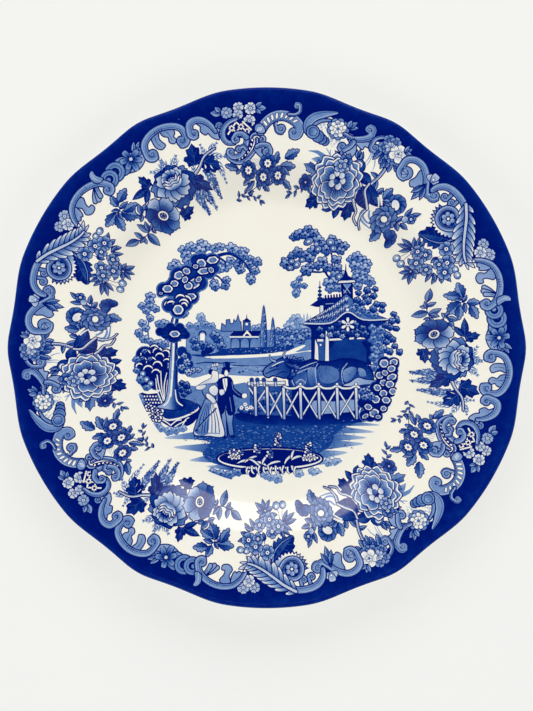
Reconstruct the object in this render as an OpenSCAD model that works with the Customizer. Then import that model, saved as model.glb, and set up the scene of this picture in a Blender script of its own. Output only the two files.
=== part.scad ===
// Dinner plate with a lobed edge, built as its real layers: fired clay, printed
// colour laid on the clay, and the clear glaze that closes over both.
// +Z is up. The origin is the middle of the foot ring, on the table.

/* [Outline] */
// Width across two opposite long lobes
plate_d = 270; // [230:1:310]
// How far the edge dips in at a notch
notch_depth = 2.1; // [0.8:0.1:4]
// Angle on each side of a notch over which the edge dips, in degrees
notch_spread = 12; // [8:0.5:14]
// Angle between the two notches that bound a short lobe, in degrees
short_lobe_angle = 18; // [14:1:24]
// Number of short lobes round the edge
short_lobes = 6; // [4:1:8]

/* [Section] */
// Height of the lip above the table
plate_h = 24; // [20:0.5:30]
// Radius of the flat floor of the well
well_r = 74; // [60:1:80]
// Height of the floor of the well above the table
floor_z = 8; // [7:0.25:10]
// Radius at which the sloping rim begins, outside the shoulder
rim_r = 100; // [92:1:108]
// Height of the rim's inner edge above the table
rim_z = 18.5; // [15:0.5:19]
// Wall under the well
well_wall = 5; // [4:0.25:6]
// Wall at the lip
lip_wall = 3.4; // [2.5:0.1:4.5]

/* [Foot] */
// Radius of the middle of the foot ring
foot_r = 76; // [60:1:80]
// Width of the flat that stands on the table
foot_flat = 2.6; // [1.5:0.1:4]
// Width of the foot ring where it meets the underside
foot_root = 6.4; // [4.5:0.1:8]

/* [Layers] */
// Thickness of the clear glaze
glaze_t = 0.2; // [0.15:0.05:0.4]
// Thickness of the printed colour
print_t = 0.1; // [0.06:0.02:0.14]
// Width of the brushed colour band along the lip, seen from above
band_w = 2.2; // [1.2:0.1:4]
// Direction of the joint before the first printed length, in degrees
border_start = 26; // [0:1:119]
// Clear ring between the shoulder's print and the picture, as radii
border_inner_r = 84; // [80:1:92]
// Radius of the printed picture in the well
picture_r = 72; // [50:1:74]
// Radius of the printed mark under the foot
mark_r = 11; // [5:1:20]

/* [Hidden] */

// The border is printed in three lengths, one node each.
border_lengths = 3;
lip_r = plate_d / 2;
rim_slope = (plate_h - rim_z) / (lip_r - rim_r);
// The turned profile runs past the lip, so that the lobed outline trims it.
over = 4;
outline_step = 2.5;
shoulder_steps = 14;
clear = 1;
$fn = 144;

// Height of the rim's plane, carried inwards over the shoulder
function rim_plane(r) = rim_z + rim_slope * (r - rim_r);

// Share of the way from the floor to the rim's plane, with its slope
function shoulder_u(r) = min(1, max(0, (r - well_r) / (rim_r - well_r)));
function shoulder_s(r) = let (u = shoulder_u(r)) u * u * (3 - 2 * u);
function shoulder_ds(r) = let (u = shoulder_u(r)) 6 * u * (1 - u) / (rim_r - well_r);

// Height and slope of the glazed face at radius r
function face_z(r) = floor_z + (rim_plane(r) - floor_z) * shoulder_s(r);
function face_slope(r) =
    rim_slope * shoulder_s(r) + (rim_plane(r) - floor_z) * shoulder_ds(r);
function upright(r) = sqrt(1 + pow(face_slope(r), 2));

// Wall at radius r, which thins evenly from the well to the lip
function wall(r) = well_wall
    + (lip_wall - well_wall) * max(0, (r - well_r) / (lip_r - well_r));

// The face sunk by a depth, and the underside raised by the same depth
function face_at(r, depth) = face_z(r) - depth * upright(r);
function back_at(r, depth) = face_z(r) - (wall(r) - depth) * upright(r);

// Radii at which the turned profile has a point, from the axis outwards
function radii_between(a, b, n) = [for (i = [0 : n]) a + (b - a) * i / n];
radii = concat([0], radii_between(well_r, rim_r, shoulder_steps), [lip_r + over]);

// Radius of the lobed outline in a direction, for an edge drawn in by an inset
pitch = 360 / short_lobes;
function dip(off) = abs(off) < notch_spread ? pow(cos(90 * off / notch_spread), 2) : 0;
function off_lobe(a) = a - pitch * round(a / pitch);
function edge_r(a, inset) = lip_r - inset
    - notch_depth * (dip(off_lobe(a) - short_lobe_angle / 2)
                     + dip(off_lobe(a) + short_lobe_angle / 2));

// Upright prism inside the lobed outline
module outline_prism(inset) {
    points = [for (a = [0 : outline_step : 360 - outline_step])
                 edge_r(a, inset) * [cos(a), sin(a)]];
    translate([0, 0, -clear])
        linear_extrude(plate_h + over + 2 * clear)
            polygon(points);
}

// The plate without its foot, with every surface drawn in by a depth
module dish(depth) {
    face = [for (r = radii) [r, face_at(r, depth)]];
    back = [for (i = [len(radii) - 1 : -1 : 0]) [radii[i], back_at(radii[i], depth)]];
    intersection() {
        rotate_extrude() polygon(concat(face, back));
        outline_prism(depth);
    }
}

// Layer between two depths below the face, from one radius to another
module face_layer(top, bottom, r0, r1, angle = 360) {
    rs = concat([r0], [for (r = radii) if (r > r0 && r < r1) r], [r1]);
    upper = [for (r = rs) [r, face_at(r, top)]];
    lower = [for (i = [len(rs) - 1 : -1 : 0]) [rs[i], face_at(rs[i], bottom)]];
    rotate_extrude(angle = angle) polygon(concat(upper, lower));
}

// The foot ring as it stands under the well
module foot_ring() {
    root_z = back_at(foot_r, 0) + well_wall / 2;
    rotate_extrude()
        polygon([
            [foot_r - foot_flat / 2, 0],
            [foot_r + foot_flat / 2, 0],
            [foot_r + foot_root / 2, back_at(foot_r, 0)],
            [foot_r + foot_root / 2, root_z],
            [foot_r - foot_root / 2, root_z],
            [foot_r - foot_root / 2, back_at(foot_r, 0)]
        ]);
}

// The printed border, over an angle, with its top at a depth under the glazed face
module border_ring(top, start, angle) {
    intersection() {
        rotate([0, 0, start])
            face_layer(top, glaze_t + print_t, border_inner_r, lip_r, angle);
        outline_prism(band_w);
    }
}

module picture(top) {
    face_layer(top, glaze_t + print_t, 0, picture_r);
}

// The mark lies on the roof of the hollow inside the foot ring.
roof_z = floor_z - well_wall + glaze_t;
module base_mark(thick) {
    translate([0, 0, roof_z + print_t - thick]) cylinder(r = mark_r, h = thick);
}

// Fired clay: the dish with its foot, less the depth that the colour soaks into
module biscuit_body() {
    color("ivory")
        union() {
            difference() {
                intersection() {
                    dish(glaze_t);
                    outline_prism(band_w);
                }
                border_ring(-clear, 0, 360);
                picture(-clear);
                base_mark(clear);
            }
            difference() {
                dish(glaze_t + print_t);
                outline_prism(band_w);
            }
            foot_ring();
        }
}

// Clear glaze over the face, the lip and the back, as far as the foot
module main_glaze() {
    color("white")
        difference() {
            dish(0);
            dish(glaze_t);
            foot_ring();
            translate([0, 0, -clear]) cylinder(r = foot_r, h = back_at(foot_r, 0) + 2 * clear);
        }
}

// Clear glaze on the roof of the hollow inside the foot ring
module base_glaze() {
    color("white")
        translate([0, 0, roof_z - glaze_t])
            cylinder(r = foot_r - foot_root / 2, h = glaze_t);
}

// Brushed colour band over the lip
module edge_band() {
    color("midnightblue")
        difference() {
            dish(glaze_t);
            dish(glaze_t + print_t);
            outline_prism(band_w);
        }
}

// One of the printed lengths of the border, which meet end to end
module border_print(k) {
    angle = 360 / border_lengths;
    color("royalblue") border_ring(glaze_t, border_start + angle * k, angle);
}

module picture_print() {
    color("steelblue") picture(glaze_t);
}

module base_mark_print() {
    color("steelblue") base_mark(print_t);
}

biscuit_body();
main_glaze();
base_glaze();
edge_band();
for (k = [0 : border_lengths - 1])
    border_print(k);
picture_print();
base_mark_print();
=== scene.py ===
# %% [markdown]
# A dinner plate, blue on cream
# A fired plate is a stack of coats: clay, then colour printed on the clay from engraved
# copper, then clear glaze over both. This lesson builds each coat as its own piece round
# a finished engineering model, which already fixes the size, the foot and the places.

# %% Load the frame
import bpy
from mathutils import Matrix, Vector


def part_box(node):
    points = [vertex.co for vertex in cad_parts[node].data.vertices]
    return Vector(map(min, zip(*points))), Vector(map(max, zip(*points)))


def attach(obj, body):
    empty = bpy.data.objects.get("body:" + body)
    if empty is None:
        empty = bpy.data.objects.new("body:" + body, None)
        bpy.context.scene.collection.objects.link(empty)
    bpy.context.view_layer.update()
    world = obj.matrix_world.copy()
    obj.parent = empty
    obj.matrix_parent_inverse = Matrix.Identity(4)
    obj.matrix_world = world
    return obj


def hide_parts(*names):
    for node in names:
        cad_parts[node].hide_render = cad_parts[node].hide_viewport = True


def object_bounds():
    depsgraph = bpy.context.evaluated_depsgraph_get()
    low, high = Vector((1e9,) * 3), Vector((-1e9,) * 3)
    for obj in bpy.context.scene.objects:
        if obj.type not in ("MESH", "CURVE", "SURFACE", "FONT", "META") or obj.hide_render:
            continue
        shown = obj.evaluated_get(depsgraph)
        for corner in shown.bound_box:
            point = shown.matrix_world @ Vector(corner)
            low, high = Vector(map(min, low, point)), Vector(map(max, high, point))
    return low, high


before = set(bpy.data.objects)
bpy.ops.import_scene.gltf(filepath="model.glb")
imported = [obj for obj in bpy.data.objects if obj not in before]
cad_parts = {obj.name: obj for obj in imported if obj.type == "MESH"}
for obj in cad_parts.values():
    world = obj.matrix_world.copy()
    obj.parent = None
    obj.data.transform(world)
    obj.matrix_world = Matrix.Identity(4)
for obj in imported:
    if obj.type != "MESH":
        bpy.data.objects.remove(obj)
CAD_BOX = [list(corner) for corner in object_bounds()]

import math
import random

import bmesh
import bpy
import numpy as np
from mathutils import Matrix, Vector
from mathutils.geometry import delaunay_2d_cdt

MM = 0.001

# %% [markdown]
# The section of the plate
# Every coat follows the same turned section, so the section is written once, as a height
# for each radius, in millimetres. The clay, the glaze and the printed films all ask it for
# their places. The overall width and height come from the engineering model's box.

# %% Section of the plate
LIP_R = CAD_BOX[1][1] / MM
PLATE_H = CAD_BOX[1][2] / MM
WELL_R = 74.0
RIM_R = 100.0
RIM_Z = 18.5
GLAZE = 0.2
FLOOR_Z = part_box("picture_print")[1][2] / MM + GLAZE
WELL_WALL = 5.0
LIP_WALL = 3.4
STEP = 0.05
RIM_SLOPE = (PLATE_H - RIM_Z) / (LIP_R - RIM_R)


def rim_plane(r):
    """Height of the rim's slope, carried inwards over the shoulder."""
    return RIM_Z + RIM_SLOPE * (r - RIM_R)


def face_z(r):
    """Height of the glazed face at a radius."""
    u = np.clip((r - WELL_R) / (RIM_R - WELL_R), 0.0, 1.0)
    return FLOOR_Z + (rim_plane(r) - FLOOR_Z) * u * u * (3 - 2 * u)


def upright(r):
    """Height that a thickness of one takes up where the face slopes."""
    slope = (face_z(r + STEP) - face_z(r - STEP)) / (2 * STEP)
    return np.sqrt(1 + slope * slope)


def wall(r):
    """Thickness of the plate, which thins evenly from the well to the lip."""
    return WELL_WALL + (LIP_WALL - WELL_WALL) * np.maximum(0.0, (r - WELL_R) / (LIP_R - WELL_R))


print("lip radius", round(LIP_R, 2), "height", round(PLATE_H, 2), "floor", round(FLOOR_Z, 2))

# %% [markdown]
# The lobed edge
# A presser's template trims the rim into lobes, long and short in turn, with a shallow notch
# between each pair, where the lip is also pinched down a little. One formula gives the dip of
# the edge for any direction, so clay, glaze, edge band and print all share one outline.

# %% Lobed outline
SHORT_LOBES = 6
SHORT_LOBE_ANGLE = 18.0
NOTCH_DEPTH = 2.1
NOTCH_SPREAD = 12.0
PINCH = 0.5
PINCH_REACH = 8.0


def dip(angle):
    """How far into a notch a direction lies, from 0 on a lobe to 1 at a notch."""
    pitch = 360 / SHORT_LOBES
    off = angle - pitch * np.round(angle / pitch)
    total = 0.0
    for side in (-1, 1):
        away = np.minimum(np.abs(off + side * SHORT_LOBE_ANGLE / 2), NOTCH_SPREAD)
        total = total + np.cos(math.pi / 2 * away / NOTCH_SPREAD) ** 2
    return total


def edge_r(angle, inset=0.0):
    """Radius of the lobed outline in a direction, in degrees."""
    return LIP_R - inset - NOTCH_DEPTH * dip(angle)


def eased(share):
    """A share from 0 to 1 that starts and ends gently."""
    share = np.clip(share, 0.0, 1.0)
    return share * share * (3 - 2 * share)


def pinch(r, angle):
    """How far the lip is pressed down at a place near a notch."""
    return PINCH * dip(angle) * eased((r - edge_r(angle)) / PINCH_REACH + 1)


def face_height(x, y):
    """Height of the glazed face over any spot, with its pinched notches."""
    r = np.hypot(x, y)
    return face_z(r) - pinch(r, np.degrees(np.arctan2(y, x)))


print("edge runs from", round(float(edge_r(9)), 2), "to", round(float(edge_r(30)), 2))

# %% [markdown]
# How the print is drawn
# A transfer print is a picture in one colour: the engraver cuts lines and dots deeper or
# shallower, and the copper carries more or less cobalt. It could be faked with a texture, but
# here it is drawn as real shapes, so that every leaf has a true edge at any distance. Each
# shape is an outline with a tone at each end of its axis: 0 is bare glaze and 1 is full
# cobalt. A later shape covers an earlier one, as a gouge cuts away what was there.

# %% The engraver's sheet
DARK = 1.0
LINE = 0.6


class Sheet:
    """A copper plate: the shapes cut into it, in order."""

    def __init__(self):
        self.shapes = []

    def cut(self, points, tone, tip=None, axis=None, lines=0.0):
        """Adds one outline, whose tone may change from tone to tip along an axis."""
        if axis is None:
            axis = (points[0], points[len(points) // 2])
        self.shapes.append((points, tone, tone if tip is None else tip, axis, lines))


def polar(centre, radius, degrees):
    """A point at a distance and a direction from a centre."""
    a = math.radians(degrees)
    return (centre[0] + radius * math.cos(a), centre[1] + radius * math.sin(a))


def rounded(points, closed=True, steps=3):
    """A smooth curve through given points."""
    n = len(points)
    out = []
    for i in range(n if closed else n - 1):
        if closed:
            p = [points[(i + k) % n] for k in (-1, 0, 1, 2)]
        else:
            p = [points[min(max(i + k, 0), n - 1)] for k in (-1, 0, 1, 2)]
        for j in range(steps):
            t = j / steps
            w = (-0.5 * t + t * t - 0.5 * t ** 3, 1 - 2.5 * t * t + 1.5 * t ** 3,
                0.5 * t + 2 * t * t - 1.5 * t ** 3, -0.5 * t * t + 0.5 * t ** 3)
            out.append(tuple(sum(w[k] * p[k][d] for k in range(4)) for d in (0, 1)))
    if not closed:
        out.append(tuple(points[-1]))
    return out


def turn(points, origin, degrees, scale=1.0):
    """Points drawn about the origin, put at a place, turned and scaled."""
    c = math.cos(math.radians(degrees)) * scale
    s = math.sin(math.radians(degrees)) * scale
    return [(origin[0] + x * c - y * s, origin[1] + x * s + y * c) for x, y in points]


def grow(points, width):
    """An outline moved outwards by a width, however it runs round."""
    n = len(points)
    area = sum(points[i - 1][0] * points[i][1] - points[i][0] * points[i - 1][1] for i in range(n))
    side = 1 if area > 0 else -1
    out = []
    for i in range(n):
        a, b, c = points[i - 1], points[i], points[(i + 1) % n]
        ux, uy = b[0] - a[0], b[1] - a[1]
        vx, vy = c[0] - b[0], c[1] - b[1]
        lu = math.hypot(ux, uy) or 1e-9
        lv = math.hypot(vx, vy) or 1e-9
        nx, ny = uy / lu + vy / lv, -ux / lu - vx / lv
        size = math.hypot(nx, ny) or 1e-9
        reach = side * width / max(0.45, size / 2)
        out.append((b[0] + nx / size * reach, b[1] + ny / size * reach))
    return out


def outlined(sheet, points, tone, tip=None, axis=None, edge=LINE, lines=0.0, ink=DARK):
    """A filled shape with a dark line round it."""
    sheet.cut(grow(points, edge), ink)
    sheet.cut(points, tone, tip, axis, lines)


def beside(path, start, end, belly=0.0):
    """A line beside a path, at a distance that may change on the way."""
    n = len(path)
    out = []
    for i, p in enumerate(path):
        a, b = path[max(i - 1, 0)], path[min(i + 1, n - 1)]
        dx, dy = b[0] - a[0], b[1] - a[1]
        length = math.hypot(dx, dy) or 1e-9
        t = i / (n - 1)
        off = start + (end - start) * t + belly * math.sin(math.pi * t)
        out.append((p[0] - dy / length * off, p[1] + dx / length * off))
    return out


def cap(tip, behind, half):
    """Three points that round off the end of a stroke, from its left to its right."""
    lean = math.degrees(math.atan2(tip[1] - behind[1], tip[0] - behind[0]))
    return [polar(tip, half, lean + side) for side in (50, 0, -50)]


def ribbon(path, start, end=None, belly=0.0, caps=False):
    """Outline of a stroke along a path, from one width to another."""
    end = start if end is None else end
    left = beside(path, start / 2, end / 2, belly / 2)
    right = beside(path, -start / 2, -end / 2, -belly / 2)[::-1]
    if not caps:
        return left + right
    return left + cap(path[-1], path[-2], end / 2) + right + cap(path[0], path[1], start / 2)


def stroke(sheet, points, start, end=None, tone=DARK, belly=0.0):
    """A line that swells and tapers."""
    sheet.cut(ribbon(rounded(points, False, 4), start, end, belly), tone)


def disc(sheet, centre, radius, tone, tip=None, squash=1.0, degrees=0.0, edge=0.0, sides=14):
    """A round or oval spot, with or without a line round it."""
    ring = [(radius * math.cos(2 * math.pi * i / sides),
        radius * squash * math.sin(2 * math.pi * i / sides)) for i in range(sides)]
    ring = turn(ring, centre, degrees)
    if edge:
        outlined(sheet, ring, tone, tip, edge=edge)
    else:
        sheet.cut(ring, tone, tip)


# %% [markdown]
# Leaves
# The border is full of leaves: toothed ones with a half in shade, almost black ones with
# pale veins, and faint ferns behind. One leaf is an outline about its own rib, so a leaf is
# placed by its base, its tip and its width.

# %% Leaves and twigs
PLUMP = 0.85
TWIG = 0.4
LEAF_INKS = {"mid": (0.5, 0.88, 1.0), "dark": (0.95, 1.0, 0.62), "soft": (0.4, 0.6, 0.85)}


def leaf_edge(width, teeth, side):
    """Points along one side of a leaf of length 1, from base to tip."""
    out = []
    count = 3 * teeth if teeth else 7
    for i in range(1, count):
        t = i / count
        half = width / 2 * math.sin(math.pi * t ** PLUMP) ** 0.9
        if teeth:
            half *= (0.74, 1.0, 1.14)[i % 3]
        out.append((t + (0.03 if teeth and i % 3 == 2 else 0), side * half))
    return out


def leaf(sheet, base, tip, width, kind="mid", teeth=0, bend=0.0, edge=LINE * 0.8):
    """One leaf from its base to its tip."""
    light, shade, vein = LEAF_INKS[kind]
    dx, dy = tip[0] - base[0], tip[1] - base[1]
    length = math.hypot(dx, dy)
    degrees = math.degrees(math.atan2(dy, dx))
    top = leaf_edge(width / length, teeth, 1)
    low = leaf_edge(width / length, teeth, -1)

    def place(points):
        return turn([(x, y + bend * 4 * x * (1 - x)) for x, y in points], base, degrees, length)

    rib = [(i / 5, 0.0) for i in range(6)]
    whole = place([(0, 0)] + top + [(1, 0)] + low[::-1])
    outlined(sheet, whole, light, light * 0.66, (base, tip), edge, 1.0)
    sheet.cut(place(rib + low[::-1]), shade, light, (base, tip), 1.0)
    sheet.cut(ribbon(place([(i / 6, 0.0) for i in range(6)]), 0.28, 0.14), DARK if kind != "dark" else vein)
    if length > 5:
        for t in (0.3, 0.5, 0.7):
            for side in (-1, 1):
                end = width / length * 0.36 * math.sin(math.pi * t) * side
                sheet.cut(ribbon(place([(t, 0), (t + 0.13, end)]), 0.2, 0.08),
                    vein if kind == "dark" else 0.9)


def lobed_leaf(sheet, base, tip, width, kind="dark"):
    """A leaf with three or five pointed lobes, like ivy or maple."""
    light, shade, vein = LEAF_INKS[kind]
    side = [(0.04, 0.16), (-0.02, 0.34), (0.2, 0.38), (0.3, 0.52), (0.44, 0.46), (0.46, 0.26), (0.62, 0.3),
        (0.78, 0.3), (0.8, 0.16)]
    dx, dy = tip[0] - base[0], tip[1] - base[1]
    length = math.hypot(dx, dy)
    degrees = math.degrees(math.atan2(dy, dx))
    half = [(x, y * width / length) for x, y in side]
    points = [(0, 0)] + half + [(1, 0)] + [(x, -y) for x, y in half[::-1]]
    outlined(sheet, turn(points, base, degrees, length), light, light * 0.8, (base, tip), LINE * 0.7, 1.0)
    lower = [(0, 0), (1, 0)] + [(x, -y) for x, y in half[::-1]]
    sheet.cut(turn(lower, base, degrees, length), shade, light, (base, tip), 1.0)
    for x, high in ((0.94, 0), (0.26, 0.42), (0.26, -0.42), (0.7, 0.22), (0.7, -0.22)):
        y = high * width / length
        start = (max(0.0, x - 0.34) if y else 0.0, 0)
        sheet.cut(ribbon(turn([start, (x, y)], base, degrees, length), 0.26, 0.1), vein)


def leaves(sheet, rows, kind="mid"):
    """Several leaves, each given by its base, its tip, its width and perhaps its teeth."""
    for base, tip, width, *teeth in rows:
        leaf(sheet, base, tip, width, kind, *teeth)


def fern(sheet, base, tip, reach, pairs=6, tone=0.5, width=0.6):
    """A faint sprig: a thin stem with a stroke on each side."""
    dx, dy = tip[0] - base[0], tip[1] - base[1]
    sheet.cut(ribbon([base, ((base[0] + tip[0]) / 2, (base[1] + tip[1]) / 2), tip], width, width * 0.5),
        tone)
    lean = math.degrees(math.atan2(dy, dx))
    for i in range(pairs):
        t = (i + 0.6) / pairs
        root = (base[0] + dx * t, base[1] + dy * t)
        length = reach * (1 - 0.6 * t) * (0.55 + 0.45 * math.sin(math.pi * min(1, t * 1.6)))
        for side in (-1, 1):
            mid = polar(root, length * 0.6, lean + side * 44)
            end = polar(root, length * 1.5, lean + side * 28)
            sheet.cut(ribbon([root, mid, end], width * 0.8, width * 0.3, width * 0.9), tone)


def sprig(sheet, points, count, size, flip=1):
    """A stem with small leaves to the left and right in turn, and one at its tip."""
    path = rounded(points, False, 5)
    sheet.cut(ribbon(path, TWIG, TWIG * 0.6), 0.85)
    n = len(path)
    for i in range(count):
        k = int((i + 0.5) / count * (n - 2)) + 1
        a, b = path[k - 1], path[k]
        lean = math.degrees(math.atan2(b[1] - a[1], b[0] - a[0]))
        side = flip * (1 if i % 2 else -1)
        leaf(sheet, b, polar(b, size, lean + side * 48), size * 0.42, edge=LINE * 0.6)
    a, b = path[-2], path[-1]
    lean = math.degrees(math.atan2(b[1] - a[1], b[0] - a[0]))
    leaf(sheet, b, polar(b, size, lean), size * 0.42, edge=LINE * 0.6)


# %% [markdown]
# Flowers
# Small five-petalled flowers, open flowers and two big full blooms carry the border. A petal
# is a rounded outline about its own line; a flower is petals set round a heart. Full blooms are
# the same petals in three rings, the outer ring cut first.

# %% Petals and blossoms
def petal(sheet, base, degrees, length, width, tone, tip=None, notch=0.0, edge=LINE * 0.75, wave=0.0):
    """One petal from its base, rounded at the end, with an optional notch or a wavy end."""
    shape = [(0, 0.08), (0.3, 0.34), (0.62, 0.5), (0.9, 0.38), (1.0 + wave * 0.06, 0.14 + wave * 0.08),
        (1.0 - notch, 0.0), (1.0 + wave * 0.06, -0.14 - wave * 0.08), (0.9, -0.38), (0.62, -0.5),
        (0.3, -0.34), (0, -0.08)]
    points = rounded([(x * length, y * width) for x, y in shape], steps=2)
    points = turn(points, base, degrees)
    axis = (base, polar(base, length, degrees))
    if edge:
        outlined(sheet, points, tone, tip, axis, edge, 0.6)
    else:
        sheet.cut(points, tone, tip, axis, 0.6)
    if edge and length > 4:
        for off in (-0.22, 0.0, 0.22):
            vein = turn([(length * 0.1, off * width * 0.4), (length * (0.74 - abs(off)), off * width)],
                base, degrees)
            sheet.cut(ribbon(vein, 0.42, 0.12), min(1.0, tone + 0.15))


def blossom(sheet, centre, radius, petals=5, tones=(0.88, 0.34), heart=(0.04, 0.8), start=90,
        edge=LINE * 0.75, notch=0.1, fat=1.15):
    """A small open flower seen from the front."""
    for i in range(petals):
        degrees = start + 360 * i / petals
        root = polar(centre, radius * 0.12, degrees)
        width = fat * 2 * math.pi * radius * 0.62 / petals
        petal(sheet, root, degrees, radius * 0.88, width, tones[0], tones[1], notch, edge)
        if radius > 2.6:
            sheet.cut(ribbon([polar(centre, radius * 0.3, degrees), polar(centre, radius * 0.68, degrees)],
                0.3, 0.12), min(1.0, tones[0] + 0.35))
    disc(sheet, centre, radius * 0.27, heart[0], edge=edge * 0.9, sides=10)
    disc(sheet, centre, radius * 0.12, heart[1], sides=8)


def eyed_flower(sheet, centre, radius, start=90):
    """A dark round flower with scalloped petals and a white star for its heart."""
    for i in range(8):
        degrees = start + 45 * i
        petal(sheet, polar(centre, radius * 0.2, degrees), degrees, radius * 0.82, radius * 0.7, 1.0, 0.56,
            0.0)
    disc(sheet, centre, radius * 0.62, 0.96)
    star = []
    for i in range(16):
        star.append(polar(centre, radius * (0.5 if i % 2 else 0.36), start + 22.5 * i))
    sheet.cut(rounded(star, steps=2), 0.0)
    disc(sheet, centre, radius * 0.16, 0.55, sides=9)


def bloom(sheet, centre, radius, rings, start=90, squash=1.0):
    """A full flower: rings of petals, the outer first, each with a light edge and a dark root."""
    for count, reach, width, turn_by, shade in rings:
        for i in range(count):
            degrees = start + turn_by + 360 * i / count
            lift = 1 - (1 - squash) * abs(math.sin(math.radians(degrees)))
            base = polar(centre, radius * 0.1, degrees)
            long = radius * reach * lift
            petal(sheet, base, degrees, long, radius * width, 0.1, 0.04, 0.05, LINE, 1.0)
            petal(sheet, base, degrees, long * 0.945, radius * width * 0.93, 1.0, shade, 0.1, 0.0, 1.0)
            for off in (-0.26, -0.09, 0.09, 0.26):
                vein = turn([(long * 0.3, off * radius * width * 0.5), (long * 0.8, off * radius * width)],
                    base, degrees)
                sheet.cut(ribbon(vein, 0.5, 0.14), 0.98)


def cup(sheet, centre, radius):
    """The half-open heart of a full flower: a dark hollow behind white-lipped petals."""
    ring = turn([(math.cos(a / 3), 0.8 * math.sin(a / 3)) for a in range(19)], centre, 0, radius)
    outlined(sheet, ring, 0.9)
    for i in range(7):
        degrees = -10 + 200 / 6 * i
        petal(sheet, polar(centre, radius * 0.3, degrees), degrees, radius * 0.72, radius * 0.56, 0.85,
            0.06, 0.06, LINE * 0.7)
    disc(sheet, centre, radius * 0.55, 0.97, squash=0.66, sides=16)
    for i in range(5):
        spot = turn([((i - 2) * 0.2, 0.14 - 0.03 * (i - 2) ** 2)], centre, 0, radius)[0]
        disc(sheet, spot, radius * 0.12, 0.1, 0.6, sides=8)
    for wide, low in ((0.66, 0.0), (0.84, -0.24), (0.98, -0.5)):
        top = [(-wide, low + 0.3), (-wide * 0.5, low - 0.02), (0, low + 0.08), (wide * 0.5, low - 0.04),
            (wide, low + 0.32)]
        under = [(wide * 0.72, low - 0.22), (0, low - 0.42), (-wide * 0.72, low - 0.2)]
        shape = turn(rounded(top + under), centre, 0, radius)
        outlined(sheet, shape, 0.0, 0.75, ((centre[0], centre[1] + (low + 0.1) * radius),
            (centre[0], centre[1] + (low - 0.5) * radius)), LINE * 0.8)


def spike(sheet, base, tip, width, seed):
    """A spike of many tiny flowers, cut as a haze of dabs that thins out to its tip."""
    rng = random.Random(seed)
    dx, dy = tip[0] - base[0], tip[1] - base[1]
    lean = math.degrees(math.atan2(dy, dx))
    length = math.hypot(dx, dy)
    core = turn([(length * i / 6, 0.0) for i in range(7)], base, lean)
    sheet.cut(ribbon(core, width * 0.7, width * 0.1, width * 0.3), 0.56)
    for i in range(120):
        t = (i + 0.5) / 120
        half = width / 2 * (1 - 0.75 * t ** 1.6)
        side = rng.uniform(-1, 1)
        spot = turn([(t * length + rng.uniform(-0.4, 0.4), side * half)], base, lean)[0]
        disc(sheet, spot, 0.75, rng.choice((0.8, 1.0, 0.1, 0.4, 0.7)), squash=0.42,
            degrees=lean + 42 * side + rng.uniform(-20, 20), sides=6)


# %% [markdown]
# Scrolls
# A rococo border hangs its flowers on C-scrolls. Each scroll is a thick stroke with a dark
# line round it and a fine light line inside it, and ends in a volute: a disc with a spiral
# cut into it.

# %% Scrolls and volutes
SCROLL = 0.42


def roll(centre, radius, width, arrive, sense):
    """Outline of a rolled end, and the line that spirals into it."""
    shape = [polar(centre, radius - width * i / 18, arrive + sense * 20 * i) for i in range(19)]
    line = []
    for i in range(19):
        t = i / 18
        line.append(polar(centre, (radius - width) * (1 - 0.8 * t) + 0.08, arrive + sense * (430 * t - 12)))
    return shape, line


def scroll(sheet, points, start, end=None, belly=0.0, head=None, tail=None, tone=SCROLL, shine=0.28):
    """A thick stroke with a dark line round it, which may roll up at its head and its tail.

    A roll is its centre, its radius, the direction in which the stroke meets it, and +1 or -1
    for the way it turns.
    """
    end = start if end is None else end
    route = list(points)
    rolls = []
    for spec, width in ((head, start), (tail, end)):
        if spec:
            centre, radius, arrive, sense = spec
            inside = [polar(centre, radius - width / 2 - 0.02 * i, arrive + sense * 40 * i)
                for i in range(4)]
            route = inside[::-1] + route if spec is head else route + inside
            rolls.append(roll(centre, radius, width, arrive, sense))
    path = rounded(route, False, 4)
    bodies = [ribbon(path, start, end, belly, caps=True)] + [shape for shape, line in rolls]
    for body in bodies:
        sheet.cut(grow(body, LINE), DARK)
    for body in bodies:
        sheet.cut(body, tone, None, None, 0.8)
    if shine:
        light = beside(path, start * shine, end * shine, belly * shine)
        shade = beside(path, -start * shine, -end * shine, -belly * shine)
        sheet.cut(ribbon(light, 0.2, 0.14), tone * 0.3)
        sheet.cut(ribbon(shade, 0.34, 0.24), min(1.0, tone + 0.4))
    for shape, line in rolls:
        sheet.cut(ribbon(line, 0.46, 0.3), 0.98)
        sheet.cut(ribbon([polar(p, 0.4, 90) for p in line[9:]], 0.16, 0.1), tone * 0.4)


def volute(sheet, centre, radius, arrive=90, sense=1):
    """A rolled end on its own."""
    shape, line = roll(centre, radius, radius * 0.5, arrive, sense)
    outlined(sheet, shape, SCROLL, lines=0.8)
    sheet.cut(ribbon(line, 0.42, 0.3), 0.98)


def lobe(sheet, points):
    """A leafy lobe with a smooth outline through given points."""
    outlined(sheet, rounded(points), SCROLL, SCROLL - 0.1, lines=0.8)


# %% [markdown]
# The border
# The border repeats three times. It is drawn once, on a strip: s runs clockwise along the
# rim, in millimetres at a radius of 115, and r is the distance from the middle. Dark ground
# fills the strip from the lip down to the scrolls, and sprays of flowers hang below them.

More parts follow.
